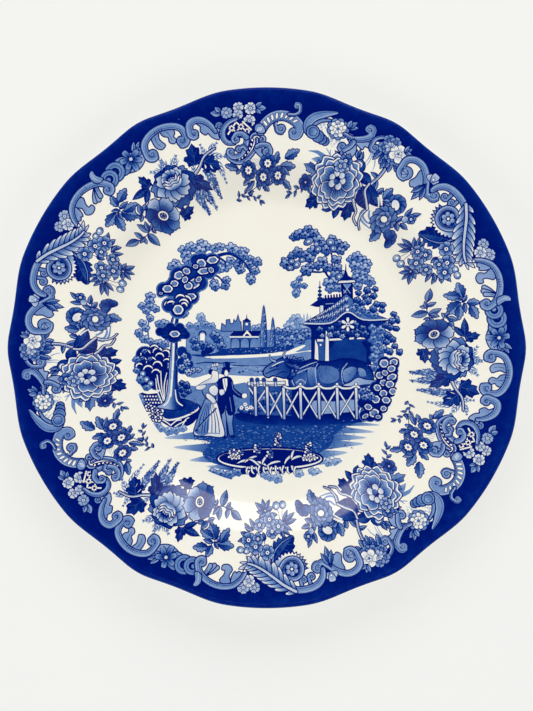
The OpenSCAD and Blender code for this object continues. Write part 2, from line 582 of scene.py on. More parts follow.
# %% The border's dark ground and its little ground flowers
STRIP_LOW = -113.2
STRIP_PERIOD = 249.5
border = Sheet()
GROUND_EDGE = [(-120, 117), (-114, 118), (-111.5, 123), (-104, 125.5), (-96, 124), (-90, 120), (-84, 119),
    (-76, 119), (-68, 119), (-63.5, 121), (-58, 125.5), (-49, 125.5), (-42.5, 120), (-38, 123), (-33, 121),
    (-28, 116), (-25, 116.5), (-23.5, 113), (-20, 109), (-13, 110), (-7, 110.5), (-3, 114), (1, 119.5),
    (8, 122), (15, 119.5), (19, 117), (22, 122), (28, 125), (33, 123), (38, 120), (46, 119), (52, 121),
    (55, 121), (61, 122), (68, 122), (73, 119), (78, 124), (85, 122), (92, 117), (96, 124), (102, 127),
    (109, 126), (115, 122), (121, 118), (128, 115.5), (136, 117), (142, 120)]
border.cut([(142, 140), (-120, 140)] + rounded(GROUND_EDGE, False, 2), 0.86, 0.99, ((0, 135), (0, 127)))


def white_flower(centre, radius, start=90, light=0.04):
    """A little flower left almost white against the dark ground."""
    blossom(border, centre, radius, 5, (0.3, light), (0.12, 0.5), start, LINE * 0.5, 0.14, 1.2)


for s, r, *look in ((-120.3, 124.4, 2.7, 80, 0.22), (-114.6, 125, 3, 100, 0.2),
        (-117.2, 121.2, 3.1, 95, 0.02), (129.2, 124.4, 2.7, 80, 0.22), (134.9, 125, 3, 100, 0.2),
        (132.3, 121.2, 3.1, 95, 0.02), (-19.8, 123.6, 2.9, 100, 0.3), (-13.8, 125.6, 2.5, 60, 0.06),
        (-14.4, 121.9, 2.5, 110, 0.1), (-8, 124.4, 3.0, 85, 0.02), (-9, 118.2, 3.0, 95, 0.06)):
    white_flower((s, r), *look)
leaves(border, (((-22.6, 123.4), (-27.3, 125.2), 3.2), ((-22.6, 124.6), (-24.6, 127.4), 2.2),
    ((-5.2, 124.4), (-0.6, 124.2), 3.0), ((-5.4, 125.2), (-2.6, 127.2), 1.8),
    ((-5.4, 123.6), (-3.2, 121.6), 1.6)), "soft")
print("ground and flowers:", len(border.shapes), "shapes")

# %% [markdown]
# The run of scrolls
# The scrolls are set in order from left to right, each with its own volutes and the leafy
# lobes that hang inside it.

# %% Scrolls, first third
def comb(sheet, root, tips, width):
    """A fan of finger lobes from one root, as on a palm."""
    for tip in tips:
        mid = ((root[0] * 0.4 + tip[0] * 0.6), (root[1] * 0.4 + tip[1] * 0.6) + 0.5)
        body = ribbon(rounded([root, mid, tip], False, 4), width * 0.6, width, caps=True)
        outlined(sheet, body, SCROLL, SCROLL - 0.12)
        sheet.cut(ribbon([root, mid], 0.16, 0.3), 0.9)


# the pointed flower and its frond, over a scroll-edged shell
lobe(border, [(-79.5, 123.5), (-76, 124.5), (-70, 123), (-66, 120), (-66.5, 116.5), (-71, 114.3),
    (-76.5, 115.5), (-79.5, 119)])
stroke(border, [(-78, 117.2), (-72, 115.8), (-67.4, 118)], 0.3, 0.2)
for degrees, size in ((15, 5.5), (38, 7.5), (58, 7.0), (-5, 4.5)):
    leaf(border, polar((-70, 121), 1.5, degrees), polar((-70, 121), size, degrees), 2.0, "soft")
for x, y, size in ((-77.6, 120.3, 4.6), (-82.2, 120.4, 4.9), (-86.6, 119.6, 4.5)):
    disc(border, (x, y), size, SCROLL, edge=LINE, sides=22)
    disc(border, (x, y), size * 0.72, 0.9, sides=22)
    disc(border, (x, y), size * 0.66, SCROLL, sides=22)
    disc(border, (x, y), size * 0.46, 0.98, sides=18)
    disc(border, (x - 0.5, y), size * 0.24, SCROLL, sides=12)
for degrees in (100, 160, 215, 265, 320, 20):
    petal(border, (-72, 120.6), degrees, 5.8 if degrees != 265 else 7.2, 2.7, 0.8, 0.3, wave=-1.4)
disc(border, (-72, 120.6), 0.9, 0.15, edge=LINE * 0.6, sides=9)

# the first C-scroll, its comma tail and its hanging leaves
comb(border, (-93.8, 122), ((-99.6, 117), (-97.8, 116.2), (-95.8, 116.8)), 1.9)
lobe(border, [(-108, 123.6), (-106.3, 120), (-107.6, 116.6), (-105.5, 114.6), (-102.6, 115.2),
    (-102.4, 117.2), (-104.2, 117.5), (-104, 120), (-102.4, 122.8), (-104.4, 124.6)])
lobe(border, [(-112.6, 121.5), (-113.2, 118.6), (-111.6, 117.2), (-110.4, 118.4), (-109.4, 117.6),
    (-108.4, 119.6), (-108.2, 123.4), (-110.4, 124)])
scroll(border, [(-115.4, 115.4), (-113.6, 120), (-109.6, 124.4), (-103.6, 126), (-97, 125), (-91.4, 121.8)],
    1.6, 2.4, 1.0, tail=((-90.9, 116.6), 3.5, 18, -1))
lobe(border, [(-92.2, 122.4), (-93, 126), (-91.8, 128.4), (-90, 128.6), (-90.3, 125.6), (-88.8, 122)])
stroke(border, [(-91.4, 127.4), (-91.6, 124.6), (-90.4, 121.6)], 0.16, 0.16, 0.1)
for i in range(4):
    x = -101.4 + 1.25 * i
    stroke(border, [(x, 124.4), (x + 0.1, 126)], 0.34, 0.24)

# the second C-scroll
lobe(border, [(-57.6, 125), (-58.4, 121.8), (-58, 118.4), (-56, 116.6), (-53.8, 117.6), (-54.6, 119.6),
    (-55.2, 122), (-54.4, 124.8)])
stroke(border, [(-56.4, 123.6), (-56.8, 120.6), (-56, 118)], 0.3, 0.2)
lobe(border, [(-52.6, 125.2), (-52.4, 122.2), (-50.4, 120.6), (-50.8, 118), (-49, 116.6), (-47.6, 118),
    (-48.4, 119.8), (-47, 121.4), (-47.6, 124.6)])
stroke(border, [(-50.4, 124), (-49.6, 121), (-49.4, 118.2)], 0.3, 0.2)
scroll(border, [(-63, 122.6), (-58.8, 125.6), (-53, 126.6), (-47, 125.2), (-43, 122)], 2.5, 2.5, 0.5,
    head=((-61.7, 116.8), 3.9, 172, 1), tail=((-44.9, 116.4), 3.9, 8, -1))
for i in range(4):
    x = -55.6 + 1.2 * i
    stroke(border, [(x, 125.0), (x + 0.15, 126.6)], 0.34, 0.24)

# the small scroll that ends in a leaf tail
lobe(border, [(-35.2, 122.6), (-33.6, 119.8), (-34.2, 117.4), (-32.4, 115.2), (-30.8, 115.8),
    (-29.4, 113.2), (-26.2, 111.2), (-26, 114.4), (-24, 116), (-26.6, 117.4), (-27.8, 120), (-30.8, 123)])
scroll(border, [(-38.6, 122.6), (-35.2, 123.8), (-31.6, 122.4), (-28.6, 119), (-27, 115.4)], 2.1, 1.6, 1.4,
    head=((-37.8, 117.6), 3.1, 165, 1))
volute(border, (-24.4, 117.9), 2.1, 200, -1)
print("first scrolls:", len(border.shapes), "shapes")

# %% Cartouche, slotted arch and shell
# white trellis in the cartouche
border.cut([(-22, 117), (-16, 119.6), (-8, 117), (-7.6, 110.6), (-13, 109.6), (-20, 110)], 0.97)
for start, end in (((-21, 112.6), (-15.6, 118.4)), ((-21, 118), (-14.6, 111.2)),
        ((-16, 118.4), (-9.6, 111.4)), ((-17, 112.4), (-11.4, 118.2)), ((-12.6, 118.2), (-8.2, 113.4)),
        ((-12.4, 111), (-9, 115))):
    outlined(border, ribbon([start, end], 0.8), 0.0, edge=0.15)
for spot in ((-18.4, 115.4), (-13.6, 115.6), (-10.6, 113)):
    outlined(border, [polar(spot, 1.7, a) for a in (0, 90, 180, 270)], 0.0, edge=0.2)
    border.cut([polar(spot, 0.9, a) for a in (0, 90, 180, 270)], 0.95)
# the beaded pod that sweeps down to the left
scroll(border, [(-9.4, 108.2), (-7.6, 111), (-4.6, 111.2)], 1.2, 1.5, tail=((-3, 108.2), 2.2, 80, -1))
scroll(border, [(-5.6, 108.6), (-6.2, 104.4), (-9.2, 100.2), (-13.6, 97.2), (-18.2, 96.8), (-22.2, 99.2),
    (-23.6, 102)], 1.1, 1.5, 0.5, shine=0.2)
scroll(border, [(-11, 110.6), (-11.6, 106.8), (-13.8, 102.4), (-17, 99.9), (-20.6, 100.4)], 2.4, 1.5, 0.6,
    tail=((-20.8, 103), 2.6, 250, -1))
pod = rounded([(-8, 108.8), (-9.4, 104.6), (-12, 101), (-15.8, 98.5), (-19, 98.2)], False, 4)
outlined(border, ribbon(pod, 1.9, 0.9), 0.95, edge=0.15)
for i in range(1, len(pod) - 2, 2):
    lean = math.degrees(math.atan2(pod[i + 1][1] - pod[i][1], pod[i + 1][0] - pod[i][0]))
    disc(border, pod[i], 0.78 - 0.02 * i, 0.0, squash=0.62, degrees=lean + 35, sides=9)
scroll(border, [(-12, 103.4), (-13.4, 105.2)], 1.7, 1.3, tail=((-16.2, 103.6), 2.1, 50, 1))
# the cartouche's own C
scroll(border, [(-15.4, 119.8), (-19.6, 118.6), (-23, 115.4), (-23.6, 111.4), (-21.8, 108.4),
    (-18.4, 107.6)], 1.4, 1.9, 0.8)
scroll(border, [(-16.6, 112.1), (-13.6, 112), (-11.2, 109.8)], 1.6, 2.6, head=((-16.9, 109.4), 2.6, 110, 1))
# the C under the arch, and its foot
lobe(border, [(-7.6, 103.4), (-5.6, 100.4), (-3.4, 98.6), (-2.2, 99.4), (-3.6, 101.2), (-3.2, 104),
    (-5.6, 105.6)])
scroll(border, [(-6, 104.4), (-3.4, 105.4), (0.2, 105)], 1.9, 2.2, 0.3, tail=((-0.4, 101.7), 3.5, 48, -1))
# the slotted arch
arch = [(-3.4, 112.8), (-0.8, 116.8), (3, 119.8), (8, 120.9), (13, 119.4), (16.6, 116.4)]
scroll(border, [(4.4, 117.4), (4.2, 115.6)], 1.2, 1.5, tail=((7.1, 114.2), 3.1, 165, 1))
scroll(border, arch, 4.6, 2.6, 1.2, shine=0.42, tail=((14.2, 113), 3.8, 8, -1))
path = rounded(arch, False, 4)
for i in range(1, 10):
    k = i * (len(path) - 2) / 10
    a, b = path[int(k)], path[int(k) + 1]
    spot = (a[0] + (b[0] - a[0]) * (k % 1), a[1] + (b[1] - a[1]) * (k % 1))
    lean = math.degrees(math.atan2(b[1] - a[1], b[0] - a[0]))
    disc(border, spot, 1.7 - 0.04 * i, 0.0, squash=0.38, degrees=lean + 72, edge=0.26, sides=12)
scroll(border, [(10.6, 121.6), (13.6, 121.8), (15.8, 123.4)], 1.2, 1.6, tail=((14.3, 126), 2.3, -10, 1))
# small foot of the arch, on the left
lobe(border, [(-6.4, 113.4), (-4.2, 111.8), (-1.6, 112), (-1.4, 113.8), (-3.2, 116), (-5.6, 116)])
for i in range(3):
    stroke(border, [(-5.4 + 0.9 * i, 112.8), (-4.4 + 0.9 * i, 114.6)], 0.4, 0.3, 0.05)
# faint stamens falling from the shell
for base, tip in (((27.5, 121.2), (31.5, 116)), ((30, 120.4), (33.5, 112)), ((34, 115), (35, 110.5)),
        ((38, 114.6), (35.6, 109.5)), ((36, 114.8), (31.8, 109.4)), ((26.4, 120), (28.6, 116.4)),
        ((39, 115), (38.6, 111))):
    fern(border, base, tip, 1.2, 3, 0.2, 0.34)
# the shell
scroll(border, [(33.2, 127), (28, 124.8), (23.4, 122), (21, 118.4), (21.2, 114.8), (24, 112)], 1.0, 1.2,
    3.6, shine=0.3)
scroll(border, [(31, 122.4), (27.2, 121.2), (24.2, 118.6), (23, 116)], 0.8, 1.0, 0.4, shine=0.0)
for centre, radius in (((31.4, 111.4), 2.0), ((29.4, 112), 2.4), ((27.1, 113), 2.9)):
    disc(border, centre, radius, SCROLL + 0.12, 0.36, edge=LINE, sides=16)
    stroke(border, [polar(centre, radius * 0.6, a) for a in (110, 60, 10, -40)], 0.3, 0.2)
disc(border, (24, 114.6), 3.2, SCROLL, edge=LINE, sides=20)
disc(border, (24, 114.8), 2.0, 0.3, 0.6, edge=LINE * 0.6, sides=16)
print("cartouche, arch and shell:", len(border.shapes), "shapes")

# %% Flower, acanthus scroll and cluster
disc(border, (36, 119.4), 5.0, 0.85, sides=20)
for i in range(9):
    petal(border, (36, 119.4), 40 * i + 8, 5.4, 3.4, 0.85, 0.4)
for i in range(9):
    petal(border, polar((36, 119.4), 1.6, 40 * i + 30), 40 * i + 30, 2.6, 2.1, 0.6 if i % 4 == 2 else 0.1,
        0.0, edge=0.3)
blossom(border, (36, 119.4), 2.3, 6, (0.12, 0.0), (0.5, 0.8), 90, 0.2, 0.1, 1.2)
for degrees, size in ((20, 4.8), (52, 5.2), (84, 4.0)):
    leaf(border, (40.6, 121.6), polar((40.6, 121.6), size, degrees), 2.3, "soft")
lobe(border, [(42, 117.2), (44.4, 114.4), (43.4, 111.2), (44.8, 108.8), (46.6, 110), (48, 108.6),
    (48.6, 112.2), (47.4, 115.6), (51.2, 114.4), (51.6, 116.4), (54.2, 116.8), (52.6, 119), (47, 119.2)])
scroll(border, [(40, 118.2), (44.6, 117.4), (49.6, 119.4), (52.4, 122)], 1.4, 1.7, 1.6,
    tail=((50.4, 124.8), 2.9, -25, 1))
scroll(border, [(45.8, 116), (45, 113.4)], 2.2, 1.6, 0.4, tail=((41.2, 111.8), 2.9, -20, -1))
for i in range(4):
    stroke(border, [(42.2 + i, 118.4), (42.9 + i, 116.9)], 0.28, 0.2)
scroll(border, [(60.6, 125.4), (57.4, 124.4), (55, 121.8)], 1.3, 1.6, 0.3, tail=((56.8, 118), 2.9, 165, 1))
# the cluster of blossoms between the small scroll and the great one
for base, tip in (((56.4, 115), (55.8, 107.5)), ((57.2, 115), (57.4, 108)), ((60, 112.5), (61.6, 107.2))):
    stroke(border, [base, ((base[0] + tip[0]) / 2 + 0.4, (base[1] + tip[1]) / 2), tip], 0.7, 0.3, 0.3)
for base, tip in (((60.4, 119), (58.8, 112.6)), ((62.4, 118.2), (62.8, 112.2)), ((65, 117), (64.6, 110.4)),
        ((67.6, 117.4), (69, 111)), ((70, 118.6), (72, 113.4)), ((66, 118), (67, 112.2))):
    leaf(border, base, tip, 2.6, "mid", 2)
for centre, radius, tone in (((61.4, 124.8), 2.9, 0.66), ((60.6, 120.6), 2.8, 0.74),
        ((65, 118.6), 2.8, 0.8), ((70.4, 118.2), 2.7, 0.7), ((64.4, 125.6), 2.6, 0.6),
        ((67.4, 117.2), 2.4, 0.76)):
    blossom(border, centre, radius, 5, (tone, 0.3), (0.4, 0.8), 50 + 17 * radius, LINE * 0.6)
for degrees in (95, 160, 225, 20, 300):
    petal(border, (68.4, 121.4), degrees, 4.6, 3.7, 0.14, 0.0, edge=0.26)
blossom(border, (68.4, 121.4), 1.7, 5, (0.16, 0.05), (0.5, 0.9), 120, 0.2)
for degrees in (60, 95, 130, 190, 250):
    petal(border, (63.4, 122), degrees, 2.5, 1.6, 0.36, 0.12, edge=0.22)
for tip in ((72.6, 127.4), (74, 124.8), (70.6, 127.8)):
    leaf(border, (70.6, 124), tip, 1.7, "soft")
print("flower and cluster:", len(border.shapes), "shapes")

# %% Great scroll, rosette and acanthus
lobe(border, [(82.2, 121.6), (82.6, 117.6), (81.6, 114.2), (83.4, 112.4), (85, 113.4), (86.6, 112),
    (88, 113.6), (87.6, 117), (88.4, 119.6), (86, 122)])
scroll(border, [(73.6, 121.6), (76.8, 124.2), (81.4, 124.4), (86, 121.6), (89.4, 117.8), (92.4, 115)], 2.5,
    1.5, 1.0, head=((76.9, 116.4), 4.8, 165, 1), tail=((95.5, 117.4), 3.2, 235, 1))
for i in range(3):
    petal(border, (78.4, 115.4), 150 + 38 * i, 3.4 - 0.3 * i, 1.5, SCROLL, 0.3, edge=0.26)
leaf(border, (88.6, 118.4), (88.6, 107.8), 3.4, "mid")
leaf(border, (88.4, 117), (86, 110.6), 2.4, "mid")
leaf(border, (89.2, 117), (91.8, 110.8), 2.4, "mid")
for degrees, size in ((140, 4), (40, 4), (90, 5.2)):
    petal(border, (89.6, 121), degrees, size, 3.4, 0.34, 0.14, wave=-1.6)
disc(border, (89.6, 122.6), 0.5, 0.0, sides=8)
for centre in ((99.6, 121.2), (103.9, 122)):
    scroll(border, [(centre[0] + 1.2, centre[1] + 3.8)], 1.3, 1.3, tail=(centre, 2.3, 20, -1), shine=0.0)
scroll(border, [(93, 118.6), (93.8, 122), (97, 125.4), (102.4, 126.8), (108.4, 126.4), (112.6, 123.4)], 2.2,
    2.6, 0.8)
# dark leaf that hangs behind the rosette
leaf(border, (120.4, 111.4), (106.4, 98.2), 12.0, "dark", 6)
scroll(border, [(119.8, 112.2), (118.4, 105.8), (113.6, 101), (108.2, 98.8)], 0.9, 0.3, shine=0.0)
# scalloped frill and the rosette in its ring
frill = []
for i in range(12):
    degrees = 176 + 14 * i
    reach = 7.6 + 0.16 * i
    frill.append(polar((109.4, 115.6), reach - 1.0, degrees - 5))
    frill.append(polar((109.4, 115.6), reach + 0.5, degrees))
frill += [(118.4, 117), (114, 121.6), (110, 121)]
frill = rounded(frill, steps=2)
outlined(border, frill, 0.5, 0.0, ((109.4, 114), (109.4, 108)), LINE)
inner = [polar((109.4, 115.6), 6.9, 176 + 14 * i) for i in range(12)] + [(117, 117)]
border.cut(inner, 0.7, 0.3, ((109.4, 115.6), (109.4, 108)))
scroll(border, [(111, 125.4), (114.8, 122.2), (116, 117.6), (114.4, 112.8), (110.4, 110), (106, 110.8),
    (103.8, 114.4), (104.6, 118.6), (108, 120.8), (111.6, 120)], 1.2, 1.7, 0.4)
disc(border, (109.4, 115.6), 4.0, 0.98, sides=22)
for i in range(6):
    disc(border, polar((109.4, 115.6), 2.35, 60 * i + 30), 1.15, 0.46, 0.2, sides=12)
disc(border, (109.4, 115.6), 1.2, 0.98, sides=12)
disc(border, (109.4, 115.6), 0.7, 0.0, sides=10)


def acanthus(sheet, spine, leaflets, reach, side, lean):
    """Curling leaflets down one side of a spine, white at their tips."""
    path = rounded(spine, False, 6)
    n = len(path)
    for i in range(leaflets):
        k = int((i + 0.3) / leaflets * (n - 3)) + 1
        a, b = path[k - 1], path[k + 1]
        degrees = math.degrees(math.atan2(b[1] - a[1], b[0] - a[0]))
        t = (i + 0.5) / leaflets
        size = reach * (0.65 + 0.75 * math.sin(math.pi * min(1.0, t * 0.95))) * (1 - 0.25 * t)
        tip = polar(path[k], size, degrees + side * lean)
        bulge = polar(path[k], size * 0.6, degrees + side * (lean + 24))
        root = path[min(n - 1, k + int(0.16 * n))]
        under = polar(path[k], size * 0.62, degrees + side * (lean - 22))
        shape = rounded([path[max(0, k - 2)], bulge, tip, under, root])
        outlined(sheet, shape, 0.62, 0.0, (path[k], tip), LINE * 0.8, 1.0)
        for off in (-9, 3):
            sheet.cut(ribbon([polar(path[k], size * 0.2, degrees + side * (lean + off)), polar(path[k],
                size * 0.78, degrees + side * (lean + off))], 0.32, 0.1), 0.9)


SPINE = [(108.6, 127.2), (114, 123.6), (119, 119.6), (124.4, 115.8), (130, 113.2), (133.6, 112.6)]
for tip in ((128, 107.4), (131.4, 107), (134.6, 109), (137.6, 112.4), (138, 115.6), (135.4, 117)):
    shape = [(130, 114.4), (tip[0] * 0.45 + 131.6 * 0.55 - 1, tip[1] * 0.45 + 113 * 0.55 + 0.8), tip,
        (tip[0] * 0.45 + 131.6 * 0.55 + 1, tip[1] * 0.45 + 113 * 0.55 - 0.8), (132, 112)]
    outlined(border, rounded(shape), 0.62, 0.0, ((131.4, 113.2), tip), LINE * 0.8, 1.0)
    border.cut(ribbon([(131.6, 113.2), (131.6 * 0.3 + tip[0] * 0.7, 113.2 * 0.3 + tip[1] * 0.7)], 0.4,
        0.14), 0.9)
acanthus(border, SPINE, 8, 6.6, -1, 50)
acanthus(border, SPINE, 9, 6.2, 1, 46)
scroll(border, SPINE, 1.3, 0.7, 0.2, shine=0.0, tone=0.16)
print("all scrolls:", len(border.shapes), "shapes")

# %% [markdown]
# The sprays
# Below the scrolls the ground is bare glaze. Two full blooms, an open flower, clusters of
# small flowers, leaves, ferns and spikes hang there. What lies behind is cut first.

# %% Left spray
fern(border, (-59, 103), (-67.6, 109.4), 4.2, 5)
fern(border, (-60, 103), (-59.4, 112), 4.4, 6)
fern(border, (-57, 103), (-51, 110.6), 4.0, 5)
fern(border, (-35, 101), (-36.8, 111.4), 3.0, 5)
fern(border, (-34, 106), (-27.6, 109.6), 3.0, 4)
fern(border, (-36, 104.6), (-22.6, 100.4), 3.4, 6)
fern(border, (-30, 101), (-27.6, 87), 3.4, 6)
fern(border, (-46, 96), (-43.8, 104), 2.4, 4)
fern(border, (-43, 88), (-40, 81), 3.0, 4)
spike(border, (-50, 92), (-46.4, 74), 7.4, 11)
spike(border, (-45.6, 92), (-39.6, 75.4), 7.4, 12)
spike(border, (-37.6, 98), (-34, 80), 7, 13)
lobed_leaf(border, (-43, 101.6), (-41, 112.6), 11)
lobed_leaf(border, (-37.6, 101.8), (-29.6, 95.4), 10)
lobed_leaf(border, (-48, 95), (-38.2, 86.2), 8.4)
scroll(border, [(-46.4, 96.4), (-41.4, 99.4), (-36.4, 104.4), (-29.6, 106.8)], 1.3, 0.7, shine=0.2,
    tone=0.14)
lobed_leaf(border, (-66, 80), (-55.6, 81.6), 7)
lobed_leaf(border, (-72.8, 103), (-74.2, 110.6), 6)
leaf(border, (-74, 102.6), (-84.2, 103.4), 3.6, "dark")
leaf(border, (-74, 102), (-80.2, 97.4), 2.8, "dark")
# the great bloom on the left
for degrees, size, width, tip in ((100, 8.2, 8, 0.7), (62, 8.8, 8.5, 0.7), (142, 9.6, 9, 0.76),
        (20, 11, 6, 0.45), (178, 12.6, 8.6, 0.5), (-14, 13.6, 9.5, 0.74), (-52, 13.4, 12, 0.7),
        (-92, 13.6, 13, 0.66), (-132, 13, 11, 0.5)):
    petal(border, (-60, 98.4), degrees, size, width, 1.0, tip, 0.03, LINE, 0.8)
for degrees, size, width in ((200, 11.4, 8), (236, 10.6, 8), (-88, 9.6, 8.6), (-50, 10.4, 8),
        (-14, 10.2, 7), (150, 8.6, 7), (34, 8.4, 6)):
    petal(border, (-60, 98.6), degrees, size, width, 1.0, 0.1, 0.05, LINE, 0.8)
cup(border, (-59.6, 99.6), 5.8)
# the open flower
for degrees, root, tip in ((96, 0.8, 0.1), (150, 1.0, 0.66), (196, 1.0, 0.55), (244, 1.0, 0.6),
        (-68, 0.95, 0.4), (-20, 0.85, 0.1), (32, 0.95, 0.16)):
    petal(border, polar((-76.6, 86.4), 1.2, degrees), degrees, 9.2, 8.2, root, tip, -0.08, LINE, -0.5)
    for off in (-12, 12):
        border.cut(ribbon([polar((-76.6, 86.4), 3, degrees + off),
            polar((-76.6, 86.4), 6.6, degrees + off * 0.9)], 0.36, 0.12), 0.85)
disc(border, (-76.6, 86.4), 3.2, 0.0, edge=LINE, squash=0.86, degrees=-30)
disc(border, (-76.6, 86.4), 2.3, 0.95, squash=0.8, degrees=-30)
for i in range(5):
    disc(border, polar((-76.6, 86.4), 1.2, 72 * i), 0.34, 0.2, sides=7)
# the five-leaf spray, the leaf twig and the little twig
stroke(border, [(-98.6, 104.4), (-94.4, 104), (-92.8, 107.4)], 0.5, 0.4, 0.85)
stroke(border, [(-94.6, 104), (-94.4, 100.6)], 0.5, 0.4, 0.85)
leaves(border, (((-97.4, 104.8), (-106.4, 104.2), 5, 4), ((-93.4, 106.6), (-92.4, 112.8), 4, 3),
    ((-91.4, 107.8), (-83.6, 110.4), 4.6, 4), ((-98, 103.6), (-101.6, 95.2), 5, 4),
    ((-94.6, 102.6), (-89.2, 94.8), 7, 5), ((-93, 102), (-84.4, 100.4), 4.2, 4),
    ((-93.6, 104.8), (-88.2, 104.6), 2, 0), ((-94.8, 104.6), (-97.6, 107), 1.8, 0),
    ((-96.4, 103.6), (-97, 100.2), 1.8, 0)))
stroke(border, [(-101.2, 86), (-95, 84.6), (-89, 85.2), (-84.6, 84)], 0.5, 0.5, 0.85)
leaves(border, (((-100.6, 86), (-108.4, 89.4), 3.6), ((-97.6, 85.4), (-98.4, 90), 2.6),
    ((-97, 85), (-98.6, 81.8), 2.2), ((-91.4, 85.2), (-93.4, 91.8), 3.4), ((-91, 85.6), (-88.6, 90), 2.6),
    ((-93, 84.6), (-93, 76), 5.2), ((-96, 84.8), (-101, 84.6), 1.6), ((-88.6, 85), (-86.4, 87), 1.5),
    ((-89, 84.6), (-88.4, 82.2), 1.5)))
stroke(border, [(-90, 92.4), (-86, 94.6), (-82, 95.6)], 0.4, 0.3, 0.85)
leaves(border, (((-86.6, 94.4), (-84.2, 99.2), 3), ((-86.8, 94.2), (-90.2, 92), 2.2),
    ((-83.6, 95), (-81, 97), 2.4), ((-88, 93.4), (-90.4, 96), 1.6)))
print("left spray:", len(border.shapes), "shapes")

# %% Dark flowers, peony and ribboned leaves
for i in range(5):
    stroke(border, [(-11 + 1.4 * i, 98), (-7 + 1.8 * i, 93)], 0.25, 0.15, 0.4)
leaves(border, (((-18.6, 93.6), (-25.8, 96.4), 3.6, 3), ((-18, 93), (-19.8, 91), 2, 0),
    ((5, 95), (6.4, 101.4), 3.6, 3), ((11, 98.4), (18.4, 103.8), 4.8, 4), ((8.4, 94), (17.6, 94.6), 4.4, 4),
    ((9, 93.4), (14.4, 90), 2.4, 0), ((10.6, 86.6), (17, 82.6), 3.2, 3), ((-12, 88), (-16.2, 84.6), 2.6, 2),
    ((-9, 86), (-14.6, 81.4), 2.8, 3), ((-6, 86), (-5.6, 81.4), 3, 3), ((-3, 84), (1.4, 80.8), 3, 3),
    ((-1, 84.4), (3.6, 85), 2, 0)))
sprig(border, [(-23.6, 77), (-19, 79.6), (-13, 80.4)], 5, 3.2)
sprig(border, [(-16, 78.6), (-10, 78), (-4.6, 75.4)], 5, 3.0)
stroke(border, [(-13, 80.4), (-8, 82.6), (-4, 84)], 0.5, 0.4, 0.8)
sprig(border, [(30, 88.6), (24, 84.6), (17, 79.6)], 6, 3.6, flip=-1)
for centre, start in (((-12, 92), 80), ((0.4, 95.2), 90), ((-2.6, 88), 100), ((7.2, 89), 85)):
    eyed_flower(border, centre, 4.8, start)
# faint feather leaf and the toothed leaves beside the peony
for i in range(6):
    t = i / 5
    root = (38.6 - 5 * t, 101 + 1.2 * t)
    for tip in ((28.4 - 4.6 * t, 105.6 - 1.2 * t), (30.6 - 4 * t, 98.8 + 1.4 * t)):
        border.cut(ribbon(rounded([root, ((root[0] + tip[0]) / 2, (root[1] + tip[1]) / 2 + 0.9), tip],
            False), 1.2, 0.4), 0.44)
for tip in ((33.2, 108), (35.6, 108)):
    stroke(border, [(38, 101.6), (36.4, 105), tip], 1.0, 0.4, 0.36)
lobed_leaf(border, (34.4, 93.6), (23.2, 96.8), 8, "mid")
lobed_leaf(border, (32.6, 97), (31, 100.8), 4, "mid")
leaves(border, (((34, 92.6), (29.6, 90.4), 2), ((34.6, 95.6), (30.4, 96.6), 2.2),
    ((35, 96.4), (31.4, 98.6), 2), ((29, 85.6), (31.4, 82.6), 2.2), ((43.4, 105), (38.6, 108), 2.2),
    ((42.8, 104), (37.8, 103.8), 2.2), ((43.4, 105.6), (41.6, 109.4), 2.2), ((53, 108), (50.6, 113.4), 2.2),
    ((53.4, 108.4), (52.6, 113), 1.6), ((51, 109), (49.4, 112.6), 1.6)))
stroke(border, [(53.4, 108), (50.2, 112.6)], 0.4, 0.3)
lobed_leaf(border, (37.6, 82), (30.6, 75), 9.6)
lobed_leaf(border, (35, 82.6), (31.4, 81), 3)
leaf(border, (50.4, 79.8), (43.6, 76.4), 3.6, "dark")
leaf(border, (53, 81), (54.4, 74.8), 4.4, "dark")
lobed_leaf(border, (59.4, 86), (62.6, 76.6), 11)
leaf(border, (56.6, 102.6), (65, 99.8), 5.4, "dark")
disc(border, (53.8, 105.2), 3.4, 0.8, 0.4, squash=1.1, edge=LINE)
petal(border, (53.6, 103.4), 90, 4.6, 3.6, 0.5, 0.02)
# the peony
PEONY = ((7, 1.02, 1.0, 10, 0.42), (6, 0.84, 0.88, 32, 0.38), (5, 0.64, 0.78, 5, 0.34))
bloom(border, (45.6, 92.8), 14.2, PEONY, 90, 0.9)
disc(border, (45.4, 93.6), 4.0, 0.97, squash=0.8, sides=18)
for degrees, size in ((10, 1.7), (62, 1.7), (118, 1.7), (170, 1.7), (230, 1.9), (310, 1.9)):
    disc(border, polar((45.4, 93.8), 3.6, degrees), size, 0.05, 0.2, edge=LINE * 0.7, sides=12)
disc(border, (45.4, 92.6), 1.9, 0.85, 0.5, squash=0.7)
blossom(border, (45.8, 105.2), 3.4, 5, (0.9, 0.4), (0.1, 0.9), 80)
blossom(border, (44, 101.4), 3.5, 5, (0.7, 0.16), (0.14, 0.8), 100)
blossom(border, (26.2, 87.6), 4.3, 6, (1.0, 0.6), (0.9, 0.1), 60, notch=0.05)
